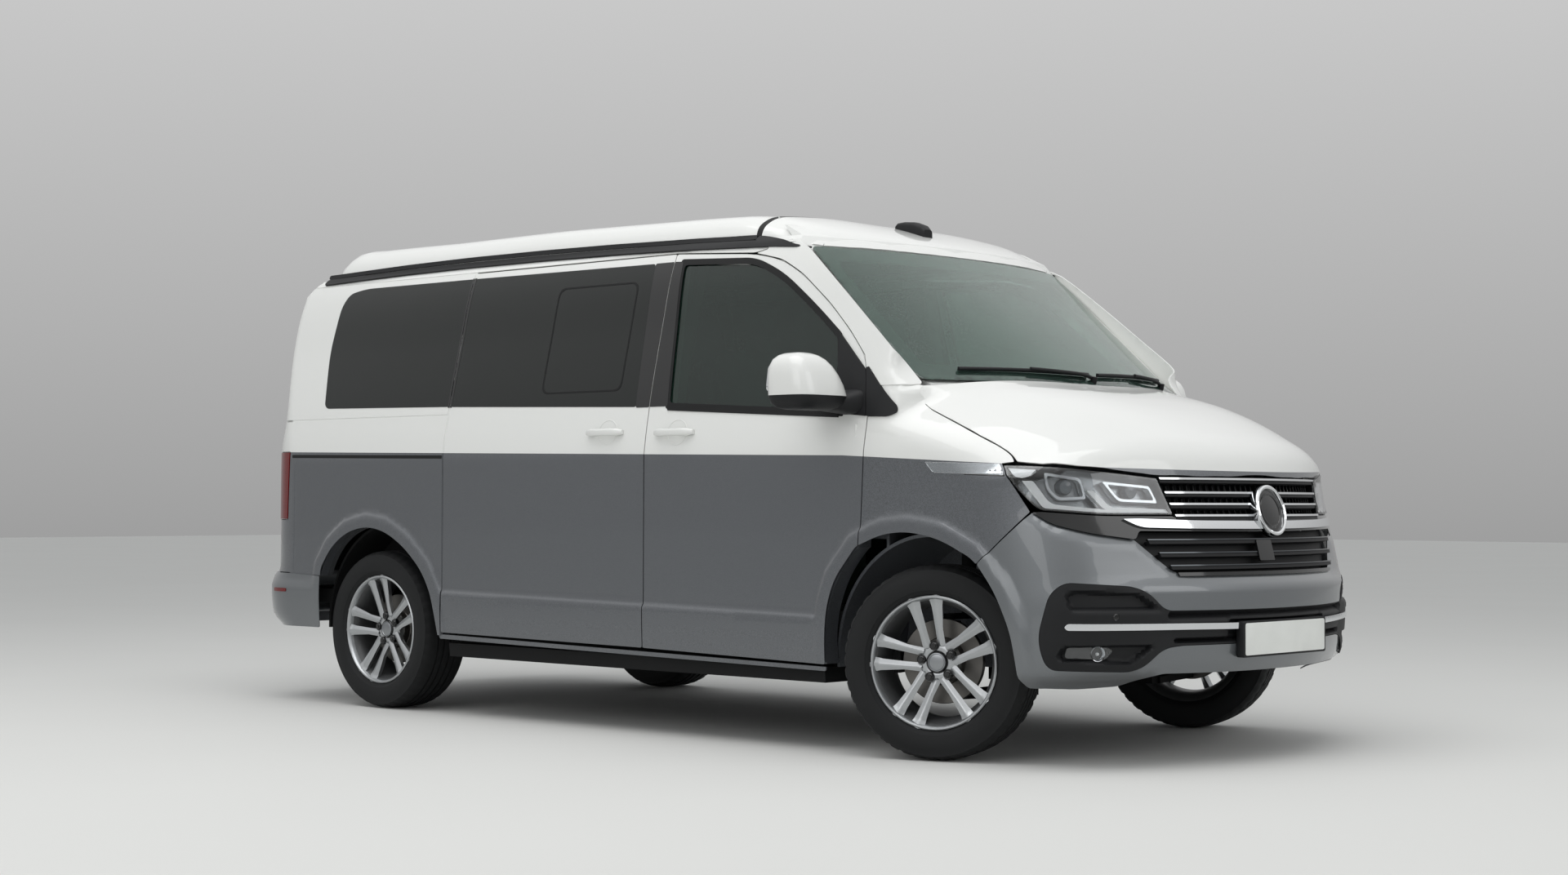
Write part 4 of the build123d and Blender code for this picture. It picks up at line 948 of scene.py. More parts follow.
# front wing
WING = ([(1304, 735, 4)] + [p + (ARCH_SOFT,) for p in FRONT_ARCH[5:9]]
        + [(1829, 680, 4), (2028, 858, 4), (1978, 926, 60), (1910, 1019, 4), (1948, 1024, 3)]
        + BONNET_EDGE[-2:1:-1]
        + [(1492, 1262, 10), (1480, 1300, 3), (1452, 1310, 4), (1300, 1316, 6)] + DOOR_FRONT[4:0:-1])
wing = panel("front_wing", ROUND_JOINED, draw_in(WING, SHUT), out=(0.2, -1, 0), step=20, shape=arch_flare,
             lift=1.5, creases=SIDE_CREASES)
right, _ = dress_pair(wing, "front_wing", "body", paint, "paint")
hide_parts("front_wings")

# windscreen pillar
PILLAR_VIEW, pillar_flat = slant_view(joined_body, (-0.6, 0.8, 0.0), (700, -300, 1500))
SCREEN_SIDE = [(-803, 1310), (-788, 1382), (-779, 1468), (-764, 1628), (-759, 1724), (-750, 1800),
               (-746, 1832)]
PILLAR_FOOT = ((1474, 1300), (1459, 1297), (1400, 1297), (1350, 1297), (1306, 1297))
pillar_rim = ([on_side(*p[:2]) for p in DOOR_FRONT[4:]]
              + [on_side(700, 1836), on_side(700, 1854), on_side(850, 1854)]
              + [on_front(*p) for p in SCREEN_SIDE[::-1]] + [on_round(*p) for p in PILLAR_FOOT])
pillar_rows = [tuple(p) + (30 if 1 < i < 6 else 20 if 10 < i < 14 else 4,)
               for i, p in enumerate(pillar_flat(pillar_rim))]
pillar = panel("screen_pillar", PILLAR_VIEW, draw_in(pillar_rows, SHUT), out=(0.6, -0.8, 0), step=14, wall=5,
               lift=4.5)
dress_pair(pillar, "screen_pillar", "body", paint, "paint")

# bonnet, seen from ahead and above
BONNET_VIEW, bonnet_flat = slant_view(joined_body, (-0.6, 0.0, -0.8), (1900, 0, 900))
LAMP_TOP = [(2060, 1018), (2190, 1010), (2400, 993), (2552, 979), (2760, 977), (2940, 978)]


def screen_foot(y, ahead):
    """A spot on the bonnet this far ahead of the windscreen's foot."""
    x = SCREEN_FOOT_X + ahead - SCREEN_BOW * (y / SCREEN_HALF) ** 2
    return top_view(lower_body)(np.array([(x, y)], float))[0]


BONNET_REAR = ((0, 30), (-200, 30), (-400, 28), (-560, 22), (-690, 12), (-770, 8))    # y, ahead of the glass
half = bonnet_flat([screen_foot(*p) for p in BONNET_REAR]
                   + [on_round(*p[:2]) for p in BONNET_EDGE + LAMP_TOP])
rows = [tuple(p) + (40 if i < 6 or i > 17 else 10 if 6 < i < 16 else 3,) for i, p in enumerate(half)]
rows = rows + [(-r[0],) + r[1:] for r in rows[:0:-1]]
bonnet = panel("bonnet_skin", BONNET_VIEW, draw_in(rows, SHUT), out=(0.6, 0, 0.8), step=26, wall=4)
dress(bonnet, "bonnet", paint, "paint", "bonnet")

# windscreen, its black border and the cowl
screen = [(-802, 1318, 20), (802, 1318, 20), (751, 1833, 30), (-751, 1833, 30)]
IN_FRONT = end_view(screen_depth, -1)
pane = panel("windscreen_pane", IN_FRONT, screen, out=(1, 0, 0.5), step=40, wall=1.2, edge=0, lift=7)
dress(pane, "body", clear_pane, "clear_glass", "windscreen")
border = panel("windscreen_border", IN_FRONT, screen, [draw_in(screen, 56)], out=(1, 0, 0.5), step=20,
               wall=1.0, edge=0, lift=5.5)
dress(border, "body", black_gloss, "black_trim")
cowl_rows = [tuple(screen_foot(y, a)[:2]) + (4,)
             for a, ys in ((29, range(-750, 751, 150)), (1, range(750, -751, -150)))
             for y in ys]
cowl = panel("cowl_grille", top_view(lower_body), cowl_rows, out=(0, 0, 1), step=18, wall=3, lift=-4)
dress(cowl, "body", black_plastic, "black_trim")

# pop-up roof shell, front cap, and the seals between them
OVER_ROOF = roll_view(roof_body)
SHELL_TAIL, SEAM_X = -2076, 622.0
SHELL_ARC = arc_of(745, 1886)
# x, how far the finished shell's shoulder stands above the plain roof
ROOF_RISE = ((SHELL_TAIL, 66), (-1950, 54), (-1800, 46), (-1300, 37), (-600, 31), (0, 22), (622, 15),
             (1000, 0))
RISE_SIDE, RISE_END, RISE_HALF = 100, 45, 480     # how far in the rise takes to grow
RISE_CROWN = 0.55             # share of it on the centre line


def roof_rise(points, verts):
    """The moulded roof stands square-shouldered over its rails, most at the tail."""
    arc = np.abs(points[:, 1])
    side = np.clip((SHELL_ARC - arc) / RISE_SIDE, 0, 1)
    end = np.clip((points[:, 0] - SHELL_TAIL) / RISE_END, 0, 1)
    middle = np.clip(arc / RISE_HALF, 0, 1)
    share = ease(side) * ease(end) * (RISE_CROWN + (1 - RISE_CROWN) * ease(middle))
    rise = np.interp(points[:, 0], *zip(*ROOF_RISE)) * share
    return verts + rise[:, None] * np.array((0.0, 0.0, 1.0))


def seam_row(arc, ahead):
    """Where the seam across the roof crosses this arc."""
    return (SEAM_X + ahead, arc)


arcs = np.linspace(-SHELL_ARC, SHELL_ARC, 25)
shell_rim = ([(SHELL_TAIL, -SHELL_ARC, 26)] + [seam_row(a, -16) + (1,) for a in arcs]
             + [(SHELL_TAIL, SHELL_ARC, 26)])
shell = panel("roof_shell_skin", OVER_ROOF, shell_rim, out=(0, 0, 1), step=26, wall=4, shape=roof_rise)
dress(shell, "pop_roof", white, "roof_paint", "roof_shell")


def brow_row(y):
    """An outline row on the roof's front edge, over the windscreen."""
    x, _, z = on_front(y, 1837)
    return (x, arc_of(y, z), 1)


CAP_ARC = arc_of(770, 1856)
arcs = np.linspace(-CAP_ARC, CAP_ARC, 27)
cap_rim = ([seam_row(a, 4) + (1,) for a in arcs] + [(862, CAP_ARC, 4)]
           + [brow_row(y) for y in range(690, -691, -115)]
           + [(862, -CAP_ARC, 4)])
cap = panel("roof_cap_skin", OVER_ROOF, cap_rim, out=(0, 0, 1), step=20, wall=8, lift=8.0, shape=roof_rise)
dress(cap, "body", white, "roof_paint")
seam = panel("roof_seam_seal", OVER_ROOF, [seam_row(a, -24) + (1,) for a in arcs]
             + [seam_row(a, 8) + (1,) for a in arcs[::-1]],
             out=(0, 0, 1), step=12, wall=12, lift=7.0, shape=roof_rise)
dress(seam, "body", seal_rubber, "black_trim")

RAIL_LINE = [(-2066, 1860), (-1500, 1874), (-1075, 1878), (-600, 1876), (-184, 1870), (300, 1858),
             (623, 1846)]
rail_low = ([p + (60,) for p in RAIL_LINE]
            + [(743, 1840, 60), (887, 1828, 3), (769, 1865, 20), (642, 1888, 4), (618, 1889, 3),
            (616, 1871, 2)] + [(x, z + 25, 60) for x, z in RAIL_LINE[-2::-1]])
rail = panel("roof_rail_low", ON_SIDE, rail_low, out=(0, -1, 0.3), step=12, wall=7, edge=3, lift=9)
dress_pair(rail, "roof_rail_low", "body", black_plastic, "black_trim")
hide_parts("roof_rails")
rail_top = ([(x, z + 31, 60) for x, z in RAIL_LINE[:-1]] + [(612, 1878, 2), (608, 1896, 2)]
            + [(x, z + 49, 60) for x, z in RAIL_LINE[-2::-1]])
rail = panel("roof_rail_top", ON_SIDE, rail_top, out=(0, -1, 0.3), step=12, wall=6, edge=3, lift=7)
dress_pair(rail, "roof_rail_top", "pop_roof", black_plastic, "black_trim")


def side_pair(name, bodies, material, slot, outline, holes=(), nodes=None, throw=ON_SIDE, **settings):
    """A panel on the right side, and its mirror image."""
    return dress_pair(panel(name, throw, outline, holes, out=(0, -1, 0), **settings), name, bodies, material,
                      slot, nodes)


# glass
side_pair("door_pane", "door_{}", side_clear, "clear_glass", draw_in(DOOR_GLASS, 4), nodes=["door_glass_{}"],
          step=40, wall=4, edge=1, lift=-4)
right, _ = side_pair("sliding_pane", "body", side_pane, "dark_glass", draw_in(SLIDING_GLASS, 1.5),
                        step=30, wall=5, edge=1, lift=2.2)
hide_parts("side_glass")
side_pair("quarter_pane", "body", side_pane, "dark_glass", draw_in(QUARTER_GLASS, 1.5), step=30, wall=5,
          edge=1, lift=2.2)

# black seals, pillar covers, mirror triangle
side_pair("door_glass_seal", "door_{}", seal_rubber, "black_trim", draw_in(DOOR_GLASS, -12),
          [draw_in(DOOR_GLASS, 12)], step=14, wall=3, edge=1, lift=2.6)
B_DOOR = [(213.5, 1252, 3), (311, 1252, 8), (259, 1817, 10), (213.5, 1819, 3)]
B_SLIDE = [(136, 1251, 8), (208.5, 1251, 3), (208.5, 1819, 3), (107, 1819, 8)]
side_pair("lock_pillar_cover", "door_{}", black_gloss, "black_trim", B_DOOR, wall=2, lift=EDGE_RING)
side_pair("slide_pillar_cover", "body", black_gloss, "black_trim", B_SLIDE, wall=2, lift=EDGE_RING)
for name, a, b in (("glass_edge_front", -991.7, -979.0), ("glass_edge_rear", -1004.0, -996.3)):
    side_pair(name, "body", black_gloss, "black_trim",
              [(a, 1279, 1), (b, 1279, 1), (b, 1829, 1), (a, 1829, 1)], step=12, wall=2, edge=0.5,
              lift=EDGE_RING)
SASH = [(-428, 1318, 40), (39, 1318, 40), (39, 1753, 40), (-428, 1753, 40)]
side_pair("sliding_sash", "body", seal_rubber, "black_trim", SASH, [draw_in(SASH, 8)],
          step=14, wall=2, edge=1, lift=3.6)
GAP_BAR = [(-1004, 1278, 2), (-979, 1278, 2), (-979, 1830, 2), (-1004, 1830, 2)]
side_pair("glass_gap_bar", "body", seal_rubber, "black_trim", GAP_BAR, wall=2, lift=-2)
TRIANGLE = [(1176, 1205, 8), (1319, 1192, 6), (1297, 1335, 20), (1290, 1359, 3), (1143, 1497, 3)]
side_pair("mirror_base", "door_{}", black_plastic, "black_trim", TRIANGLE, step=16, wall=9, edge=3, lift=8)
WING_CORNER = [(1323, 1190, 6), (1413, 1188, 14), (1444, 1203, 14), (1441, 1226, 10), (1304, 1368, 3),
               (1292, 1364, 2), (1299, 1335, 20)]
side_pair("wing_corner_trim", "body", black_plastic, "black_trim", WING_CORNER, throw=side_view(joined_body),
          step=10, wall=9, edge=3, lift=8)
BELT = [(313, 1236, 3), (1188, 1190, 3), (1188, 1204, 3), (313, 1251, 3)]
side_pair("belt_trim", "door_{}", seal_rubber, "black_trim", BELT, step=16, wall=4, edge=2, lift=4.5)

# slot of the sliding door's rail
SLOT = [(-1002, 1066, 5), (-2052, 1080, 5), (-2052, 1094, 5), (-1002, 1080, 5)]
side_pair("slide_rail_slot", "body", seal_rubber, "black_trim", SLOT, step=14, wall=3, edge=1, lift=2.2)

# sill strip under the doors
SILL = [(-1008, 318, 6), (1140, 290, 6), (1145, 305, 6), (-992, 336, 6)]
side_pair("sill_strip", "body", paint, "paint", SILL, step=20, wall=6, edge=3, lift=6)

# tail
IN_REAR = end_view(cabin_body, 1)
GATE = [(787, 577, 30), (787, 1110, 60), (772, 1240, 60), (702, 1849, 40)]
gate = GATE + [(-r[0],) + r[1:] for r in GATE[::-1]]
REAR_GLASS = [(688, 1252, 50), (618, 1768, 50), (-618, 1768, 50), (-688, 1252, 50)]
skin = panel("tailgate_skin", IN_REAR, gate, [draw_in(REAR_GLASS, 2)], out=(-1, 0, 0), step=34, lift=1)
dress(skin, "tailgate", paint, "paint")
pane = panel("tailgate_pane", IN_REAR, draw_in(REAR_GLASS, 3), out=(-1, 0, 0), step=50, wall=4, edge=1)
dress(pane, "tailgate", side_pane, "dark_glass", "tailgate_glass")
TAIL_END = 2 * Plan.tail_middle
half = [(-1828, 559, 6), (-1833, 487, 60), (-1828, 334, 10)]
bumper = panel("rear_bumper_skin", ROUND_LOW, half + [(-2300, 332, 60), (TAIL_END + 2300, 332, 60)]
               + [(TAIL_END - u, z, r) for u, z, r in half[::-1]]
               + [(TAIL_END + 2085, 567, 40), (-2085, 567, 40)],
               out=(-1, -0.1, 0), step=24, lift=1, shape=arch_flare)
dress(bumper, "body", grey, "bumper_paint", "rear_bumper")
REFLECTOR = [(-2076, 484, 5), (-2190, 484, 5), (-2190, 500, 5), (-2076, 500, 5)]
dress_pair(panel("rear_reflector", ROUND_LOW, REFLECTOR, out=(-0.5, -1, 0), step=12, wall=5, lift=13),
           "rear_reflector", "body", red_lens, "red_lens")
LAMP_REAR = [(-2074, 1105, 8), (-2091, 808, 8), tail_row(801, 808, 8), tail_row(801, 1105, 8)]
lamp = panel("tail_lamp_lens", ROUND_HIGH, LAMP_REAR, out=(-1, -1, 0), step=18, wall=8, edge=3, lift=4)
right, _ = dress_pair(lamp, "tail_lamp_lens", "body", red_lens, "red_lens")
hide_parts("tail_lamps")

# ---------------------------------------------------------------- build: nose
NOSE_END = 2 * Plan.nose_middle


def both_ways(half):
    """An outline round the nose from its right half, which starts and ends near the middle."""
    return half + [(NOSE_END - r[0],) + tuple(r[1:]) for r in half[::-1]]


def nose_panel(name, outline, holes=(), **settings):
    """A panel on the nose, whose outline is given as u, height."""
    return panel(name, ROUND_LOW, outline, holes, out=(1, -0.4, 0), **settings)


def nose_pair(name, outline, material, slot="lamp_lens", holes=(), **settings):
    """A panel on the right half of the nose, and its mirror image."""
    return dress_pair(nose_panel(name, outline, holes, **settings), name, "body", material, slot)


def sunk(deep, edges, soft=10.0):
    """A shaping that pushes a sheet inwards inside the given flat outlines, with soft walls."""
    loops = [soften(edge, 20) for edge in edges]

    def shape(points, verts):
        push = np.zeros(len(points))
        for loop in loops:
            t = np.clip(distance_to(points, loop) / soft, 0, 1) * inside(points, loop)
            push = np.maximum(push, deep * ease(t))
        return verts - outward(points[:, 0], push)
    return shape


# bumper: a lip that looks up under the grille, a crease, and a drawn-in face below it
BUMPER_TOP = [(2640, 646, 40), (2580, 655, 50), (2430, 765, 8), (2249, 787, 120), (2102, 816, 60),
              (2030, 856, 6), (1831, 682, 8)]
BUMPER_LOW = [(2003, 270, 10), (2240, 262, 60), (2440, 270, 90), (2505, 318, 60), (2841, 315, 80)]
INSET_HOLE = [(2863, 528, 4), (2522, 530, 30), (2464, 586, 80), (2400, 612, 90), (2150, 626, 60),
              (2100, 588, 60), (2058, 435, 80), (2091, 335, 40), (2420, 325, 50), (2520, 404, 40),
              (2600, 411, 8), (2863, 411, 8)]


def bumper_form(points, verts):
    """The bumper's lip, crease, shoulder under the lamp and flare at the wheel arch."""
    u, z = points[:, 0], points[:, 1]
    right_u = np.minimum(u, NOSE_END - u)
    mid = np.clip((right_u - 2180) / 300, 0, 1)
    lip = np.interp(z, (590, 604, 640, 700, 790), (0, 1.0, 15.0, 17.0, 10.0)) * mid
    under = np.interp(z, (520, 560, 592, 604), (10.0, 8.0, 3.0, 0.0)) * mid
    rows = BUMPER_TOP[-2::-1]
    top = np.interp(right_u, [row[0] for row in rows], [row[1] for row in rows])
    roll = np.clip(1 - (top - z) / 30, 0, 1) ** 2 * 14 * (1 - mid * 0.5)
    near = distance_to(np.column_stack((right_u, z)), np.array(FRONT_ARCH, float), False)
    t = np.clip((1 - near / FLARE_REACH) * 3, 0, 1)
    return verts + outward(u, FLARE_OUT * ease(t) - lip - under - roll * (near > 20))


half = BUMPER_TOP + [p + (ARCH_SOFT,) for p in FRONT_ARCH[9:12]] + [(1995, 279, 6)] + BUMPER_LOW
bumper = nose_panel("front_bumper_skin", both_ways(half), [both_ways(INSET_HOLE)], step=20, wall=4,
                    shape=bumper_form)
dress(bumper, "body", grey, "bumper_paint", "front_bumper")

# the tray that closes the nose from below
UNDERTRAY_END, UNDERTRAY_Z = 2006, 324.0
tray_rows = []
for u in np.linspace(UNDERTRAY_END, NOSE_END - UNDERTRAY_END, 48):
    x, y, head_x, head_y = heading_at(u)
    tray_rows.append((x - 52 * head_x - 34, y - 46 * head_y, 2))
tray = panel("nose_undertray", lambda p: np.column_stack((p, np.full(len(p), UNDERTRAY_Z))), tray_rows,
             out=(0, 0, -1), step=50, wall=5)
dress(tray, "body", black_plastic, "black_trim")

# black inset with its fins, lamp pockets and the band across the middle
POCKET_DEEP, MIDDLE_DEEP = 26.0, 10.0
POCKETS = [[(2150, 590), (2190, 600), (2420, 590), (2500, 536), (2500, 530), (2165, 530)],
           [(2150, 420), (2120, 385), (2140, 362), (2400, 352), (2490, 420)],
           [(2530, 524), (NOSE_END - 2530, 524), (NOSE_END - 2530, 500), (2530, 500)],
           [(2560, 440), (NOSE_END - 2560, 440), (NOSE_END - 2560, 418), (2560, 418)],
           [(2796, 500), (NOSE_END - 2796, 500), (NOSE_END - 2796, 430), (2796, 430)]]
POCKETS += [[(NOSE_END - u, z) for u, z in loop] for loop in POCKETS[:2]]


def inset_form(points, verts):
    """The inset's pockets, and its middle drawn back under the lip."""
    u = points[:, 0]
    middle = np.clip((np.minimum(u, NOSE_END - u) - 2450) / 100, 0, 1)
    return sunk(POCKET_DEEP, POCKETS, 12.0)(points, verts) - outward(u, middle * MIDDLE_DEEP)


inset = nose_panel("bumper_inset", draw_in(both_ways(INSET_HOLE), 1.5), step=11, wall=5, shape=inset_form)
dress(inset, "body", black_plastic, "black_trim")
STRIP = [(2838, 484, 2), (2600, 487, 80), (2160, 490, 9), (2150, 478, 5), (2160, 468, 9), (2600, 466, 80),
         (2838, 463, 2)]
nose_pair("bumper_chrome_strip", STRIP, chrome, "grille", step=9, wall=9, edge=4, lift=4)


def rounded_plate(name, half_y, low, high, x, depth, radius):
    """An upright plate that faces forwards, with rounded corners."""
    corners = soften([(-half_y, low), (half_y, low), (half_y, high), (-half_y, high)], radius)
    bm = bmesh.new()
    bm.faces.new([bm.verts.new((MM * x, MM * y, MM * z)) for y, z in corners])
    made = bmesh.ops.extrude_face_region(bm, geom=list(bm.faces))
    for v in [g for g in made["geom"] if isinstance(g, bmesh.types.BMVert)]:
        v.co.x -= depth * MM
    bmesh.ops.recalc_face_normals(bm, faces=bm.faces)
    mesh = bpy.data.meshes.new(name)
    bm.to_mesh(mesh)
    bm.free()
    piece = bpy.data.objects.new(name, mesh)
    bpy.context.scene.collection.objects.link(piece)
    bevel = piece.modifiers.new("edge", "BEVEL")
    bevel.width, bevel.segments = min(2.0, depth * 0.3) * MM, 2
    bevel.limit_method, bevel.angle_limit = "ANGLE", radians(60)
    apply_modifiers(piece)
    smooth(piece, 30)
    return piece


# blank number plate on its carrier
dress(rounded_plate("plate_carrier", 270, 364, 488, 2437, 30, 9), "body", black_plastic, "black_trim")
dress(rounded_plate("plate_blank", 260, 371, 481, 2439, 3, 10), "body", plate_white, "mirror_shell")

# grilles: a deep black tray, slats with plated upper edges, upright ribs
TRAY_HIGH = both_ways([(2548, 982, 4), (2604, 838, 4)])
TRAY_LOW = both_ways([(2432, 800, 4), (2430, 768, 4), (2582, 648, 30)])
dress(nose_panel("upper_grille_tray", TRAY_HIGH, step=30, wall=4, lift=-42), "body", black_plastic,
      "black_trim", "upper_grille")
dress(nose_panel("lower_grille_tray", TRAY_LOW, step=30, wall=4, lift=-42), "body", black_plastic,
      "black_trim", "lower_grille")


def slat(name, z, high, u_end, wall, lift, material, slot):
    """A bar round the nose at a height, from one end point to its mirror image."""
    half = [(2940, z + high / 2, 1), (u_end, z + high / 2, 2), (u_end + high * 0.5, z - high / 2, 2),
            (2940, z - high / 2, 1)]
    bar = nose_panel(name, both_ways(half), step=9, wall=wall, edge=min(2.4, high * 0.35), lift=lift)
    dress(bar, "body", material, slot)


def end_high(z):
    """The u at which the upper grille's slats end, by height."""
    return 2557 + (975 - z) * 0.40


def end_low(z):
    """The u at which the lower grille's slats end, by height."""
    return 2449 + (793 - z) * 0.93


for k, z in enumerate((972, 925, 886, 847)):
    slat(f"upper_slat_{k}", z, 7, end_high(z), 12, 1.0 if k else 3.0, chrome, "grille")
    slat(f"upper_slat_web_{k}", z - 8, 10, end_high(z) + 4, 26, -4.0, black_plastic, "black_trim")
# the lower slats' grey metal edges are a painted highlight on the gloss black bars
for k, z in enumerate((768, 724, 681)):
    slat(f"lower_slat_{k}", z, 4, end_low(z) + 6, 12, -7.0, slat_highlight_metal, "grille")
    slat(f"lower_slat_web_{k}", z - 8, 11, end_low(z) + 10, 28, -10.0, black_plastic, "black_trim")
slat("lower_grille_foot", 652, 12, 2592, 24, -12.0, black_gloss, "black_trim")
ribs = []
for u in np.arange(2606, Plan.nose_middle + 1, 33.66):
    for at in {float(u), float(NOSE_END - u)}:
        rib = [(at - 2, 843, 0), (at + 2, 843, 0), (at + 2, 974, 0), (at - 2, 974, 0)]
        ribs.append(nose_panel("rib", rib, step=60, wall=16, edge=0, lift=-22, radius=0))
dress(join(ribs, "upper_grille_ribs"), "body", black_gloss, "black_trim")
half = [(3000, 826, 60), (2700, 828, 60), (2450, 835, 30), (2386, 834, 3), (2450, 806, 60), (2700, 801, 60),
        (3000, 799, 60)]
dress(nose_panel("grille_chrome_bar", both_ways(half), step=10, wall=14, edge=5, lift=6), "body", chrome,
      "grille")
APRON = [(3050, 841, 4), (2607, 843, 6), (2600, 846, 6), (2310, 846, 60), (2063, 859, 20), (2033, 857, 4),
         (2104, 819, 40), (2250, 790, 90), (2431, 769, 10), (2448, 797, 10), (3050, 793, 4)]
dress(nose_panel("lamp_apron", both_ways(APRON), step=18, wall=5, lift=-5), "body", black_gloss, "black_trim")
RADAR = [(2996, 693, 6), (3088, 693, 6), (3088, 764, 6), (2996, 764, 6)]
dress(nose_panel("sensor_cover", RADAR, step=14, wall=8, lift=-4), "body", black_gloss, "black_trim")


def turned(name, profile, steps=72):
    """A piece turned about X from a profile of radius, offset rows in millimetres."""
    bpy.ops.mesh.primitive_circle_add(vertices=3, radius=0.001)
    piece = bpy.context.active_object
    piece.name = piece.data.name = name
    bm = bmesh.new()
    verts = [bm.verts.new((off * MM, 0, r * MM)) for r, off in profile]
    edges = [bm.edges.new(pair) for pair in zip(verts, verts[1:])]
    bmesh.ops.spin(bm, geom=verts + edges, cent=(0, 0, 0), axis=(1, 0, 0), angle=2 * pi, steps=steps,
                   use_merge=True)
    bmesh.ops.remove_doubles(bm, verts=bm.verts, dist=0.00002)
    bmesh.ops.recalc_face_normals(bm, faces=bm.faces)
    bm.to_mesh(piece.data)
    bm.free()
    smooth(piece, 30)
    return piece


def moved(piece, *steps):
    """A piece's mesh moved by matrices, one after the other."""
    for step in steps:
        piece.data.transform(step)
    return piece


def shift(x, y, z):
    """A move in millimetres."""
    return Matrix.Translation((x * MM, y * MM, z * MM))


# badge left plain: a plated ring round a dished disc
badge_at = (Matrix.Rotation(radians(-14), 4, "Y"), shift(2371, 0, 862))
ring_piece = turned("badge_ring",
                    [(76, 8), (78, 14), (84, 17), (90, 14), (92, 6), (92, -14), (76, -14), (76, 8)])
dress(moved(ring_piece, *badge_at), "body", chrome, "grille")
disc = turned("badge_disc",
              [(0, 10), (30, 9.4), (54, 7), (56, 9.5), (60, 9.5), (62, 6), (77, 5), (77, -12), (0, -12)])
dress(moved(disc, *badge_at), "body", black_gloss, "black_trim")

# headlamps: black bowl, plated reflector steps, light guides, two lens modules, clear cover
LAMP = [(1911, 1016, 8), (2060, 1012, 60), (2190, 1004, 60), (2400, 987, 60), (2551, 973, 6), (2602, 851, 8),
        (2310, 850, 80), (2070, 864, 40), (2045, 874, 30), (1980, 928, 60)]
nose_pair("headlamp_bowl", draw_in(LAMP, 4), chrome_dark, step=18, wall=4, lift=-58)
right, _ = nose_pair("headlamp_rim", LAMP, black_gloss, "black_trim", [draw_in(LAMP, 7)],
                        step=12, wall=54, edge=1, lift=-4)
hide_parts("headlamps")
GUIDE_A = [(1990, 962, 4), (2032, 962, 8), (2098, 885, 30), (2330, 869, 20), (2586, 863, 6), (2590, 855, 4),
           (2310, 857, 80), (2074, 870, 20)]
GUIDE_B = [(2262, 932, 4), (2290, 932, 6), (2352, 878, 20), (2590, 872, 5), (2590, 864, 4), (2330, 867, 20)]
nose_pair("headlamp_guide_a", GUIDE_A, light_guide, step=9, wall=14, edge=3, lift=-10)
nose_pair("headlamp_guide_b", GUIDE_B, light_guide, step=9, wall=20, edge=3, lift=-16)
BROW = [(1925, 1011, 4), (2040, 1007, 10), (2020, 975, 10), (1985, 968, 6)]
nose_pair("headlamp_brow", BROW, light_guide, step=9, wall=10, edge=3, lift=-8)
SHELF_A = [(2075, 985, 10), (2240, 975, 20), (2262, 905, 10), (2130, 900, 20), (2085, 935, 20)]
SHELF_B = [(2330, 965, 10), (2530, 950, 10), (2560, 893, 10), (2390, 898, 20)]
for tag, loop in (("a", SHELF_A), ("b", SHELF_B)):
    nose_pair(f"headlamp_frame_{tag}", loop, lamp_silver, holes=[draw_in(loop, 9)], step=9, wall=26, edge=3,
              lift=-24)
    u, z = np.mean([r[:2] for r in loop], axis=0)
    _, _, head_x, head_y = heading_at(u)
    spot = on_round(u, z)
    eye = turned("eye", [(0, 10), (12, 8.5), (22, 4), (27, -4), (28, -22), (0, -22)], 40)
    turn = Matrix.Rotation(atan2(head_y, head_x) * 0.6, 4, "Z")
    moved(eye, turn, shift(spot[0] - 34 * head_x, spot[1] - 34 * head_y, spot[2]))
    dress_pair(eye, f"headlamp_eye_{tag}", "body", lamp_lens_glass, "lamp_lens")
nose_pair("headlamp_cover", draw_in(LAMP, 2), clear_cover, step=20, wall=3, edge=1.5, lift=0.5)
TURN = [(1597, 1029, 6), (1634, 991, 10), (1928, 980, 6), (1899, 1019, 6)]
nose_pair("turn_strip_rim", draw_in(TURN, -3.5), black_gloss, "black_trim", step=12, wall=2, edge=0.6,
          lift=1.2)
nose_pair("turn_strip_bed", TURN, lamp_silver, step=10, wall=3, edge=1, lift=2)
nose_pair("turn_strip_cover", draw_in(TURN, 2), clear_cover, step=12, wall=3, edge=1.4, lift=5.5)

# fog lamps and parking sensors in the inset
FOG = [(2160, 412, 12), (2150, 374, 12), (2300, 366, 14), (2330, 400, 16), (2300, 412, 10)]
nose_pair("fog_lamp_bed", FOG, lamp_dark, step=9, wall=3, edge=1, lift=-22)
nose_pair("fog_lamp_cover", draw_in(FOG, 1), clear_cover, step=12, wall=3, edge=1.5, lift=-12)


def button_at(name, u, z, profile, material, slot, sink=0.0):
    """A small turned piece standing square on the lower body."""
    _, _, head_x, head_y = heading_at(u)
    spot = on_round(u, z)
    piece = turned(name, profile, 28)
    moved(piece, Matrix.Rotation(atan2(head_y, head_x), 4, "Z"),
          shift(spot[0] - sink * head_x, spot[1] - sink * head_y, z))
    dress_pair(piece, name, "body", material, slot)


button_at("fog_lamp_bowl", 2272, 389, [(0, -15), (10, -13), (18, -8), (23, 0), (25, 1), (26, -1), (26, -18),
                                       (0, -18)], lamp_silver, "lamp_lens", 16)
button_at("fog_lamp_bulb", 2272, 389, [(0, 0), (5, -2), (7, -8), (7, -14), (0, -14)], light_guide,
          "lamp_lens", 16)
button_at("parking_sensor_a", 2330, 511, [(0, 2.5), (9, 2), (11, 0), (11, -6), (0, -6)], black_gloss,
          "black_trim")
button_at("parking_sensor_b", 2740, 560, [(0, 1.5), (9, 1), (11, -1), (11, -8), (0, -8)], grey,
          "bumper_paint", 9)

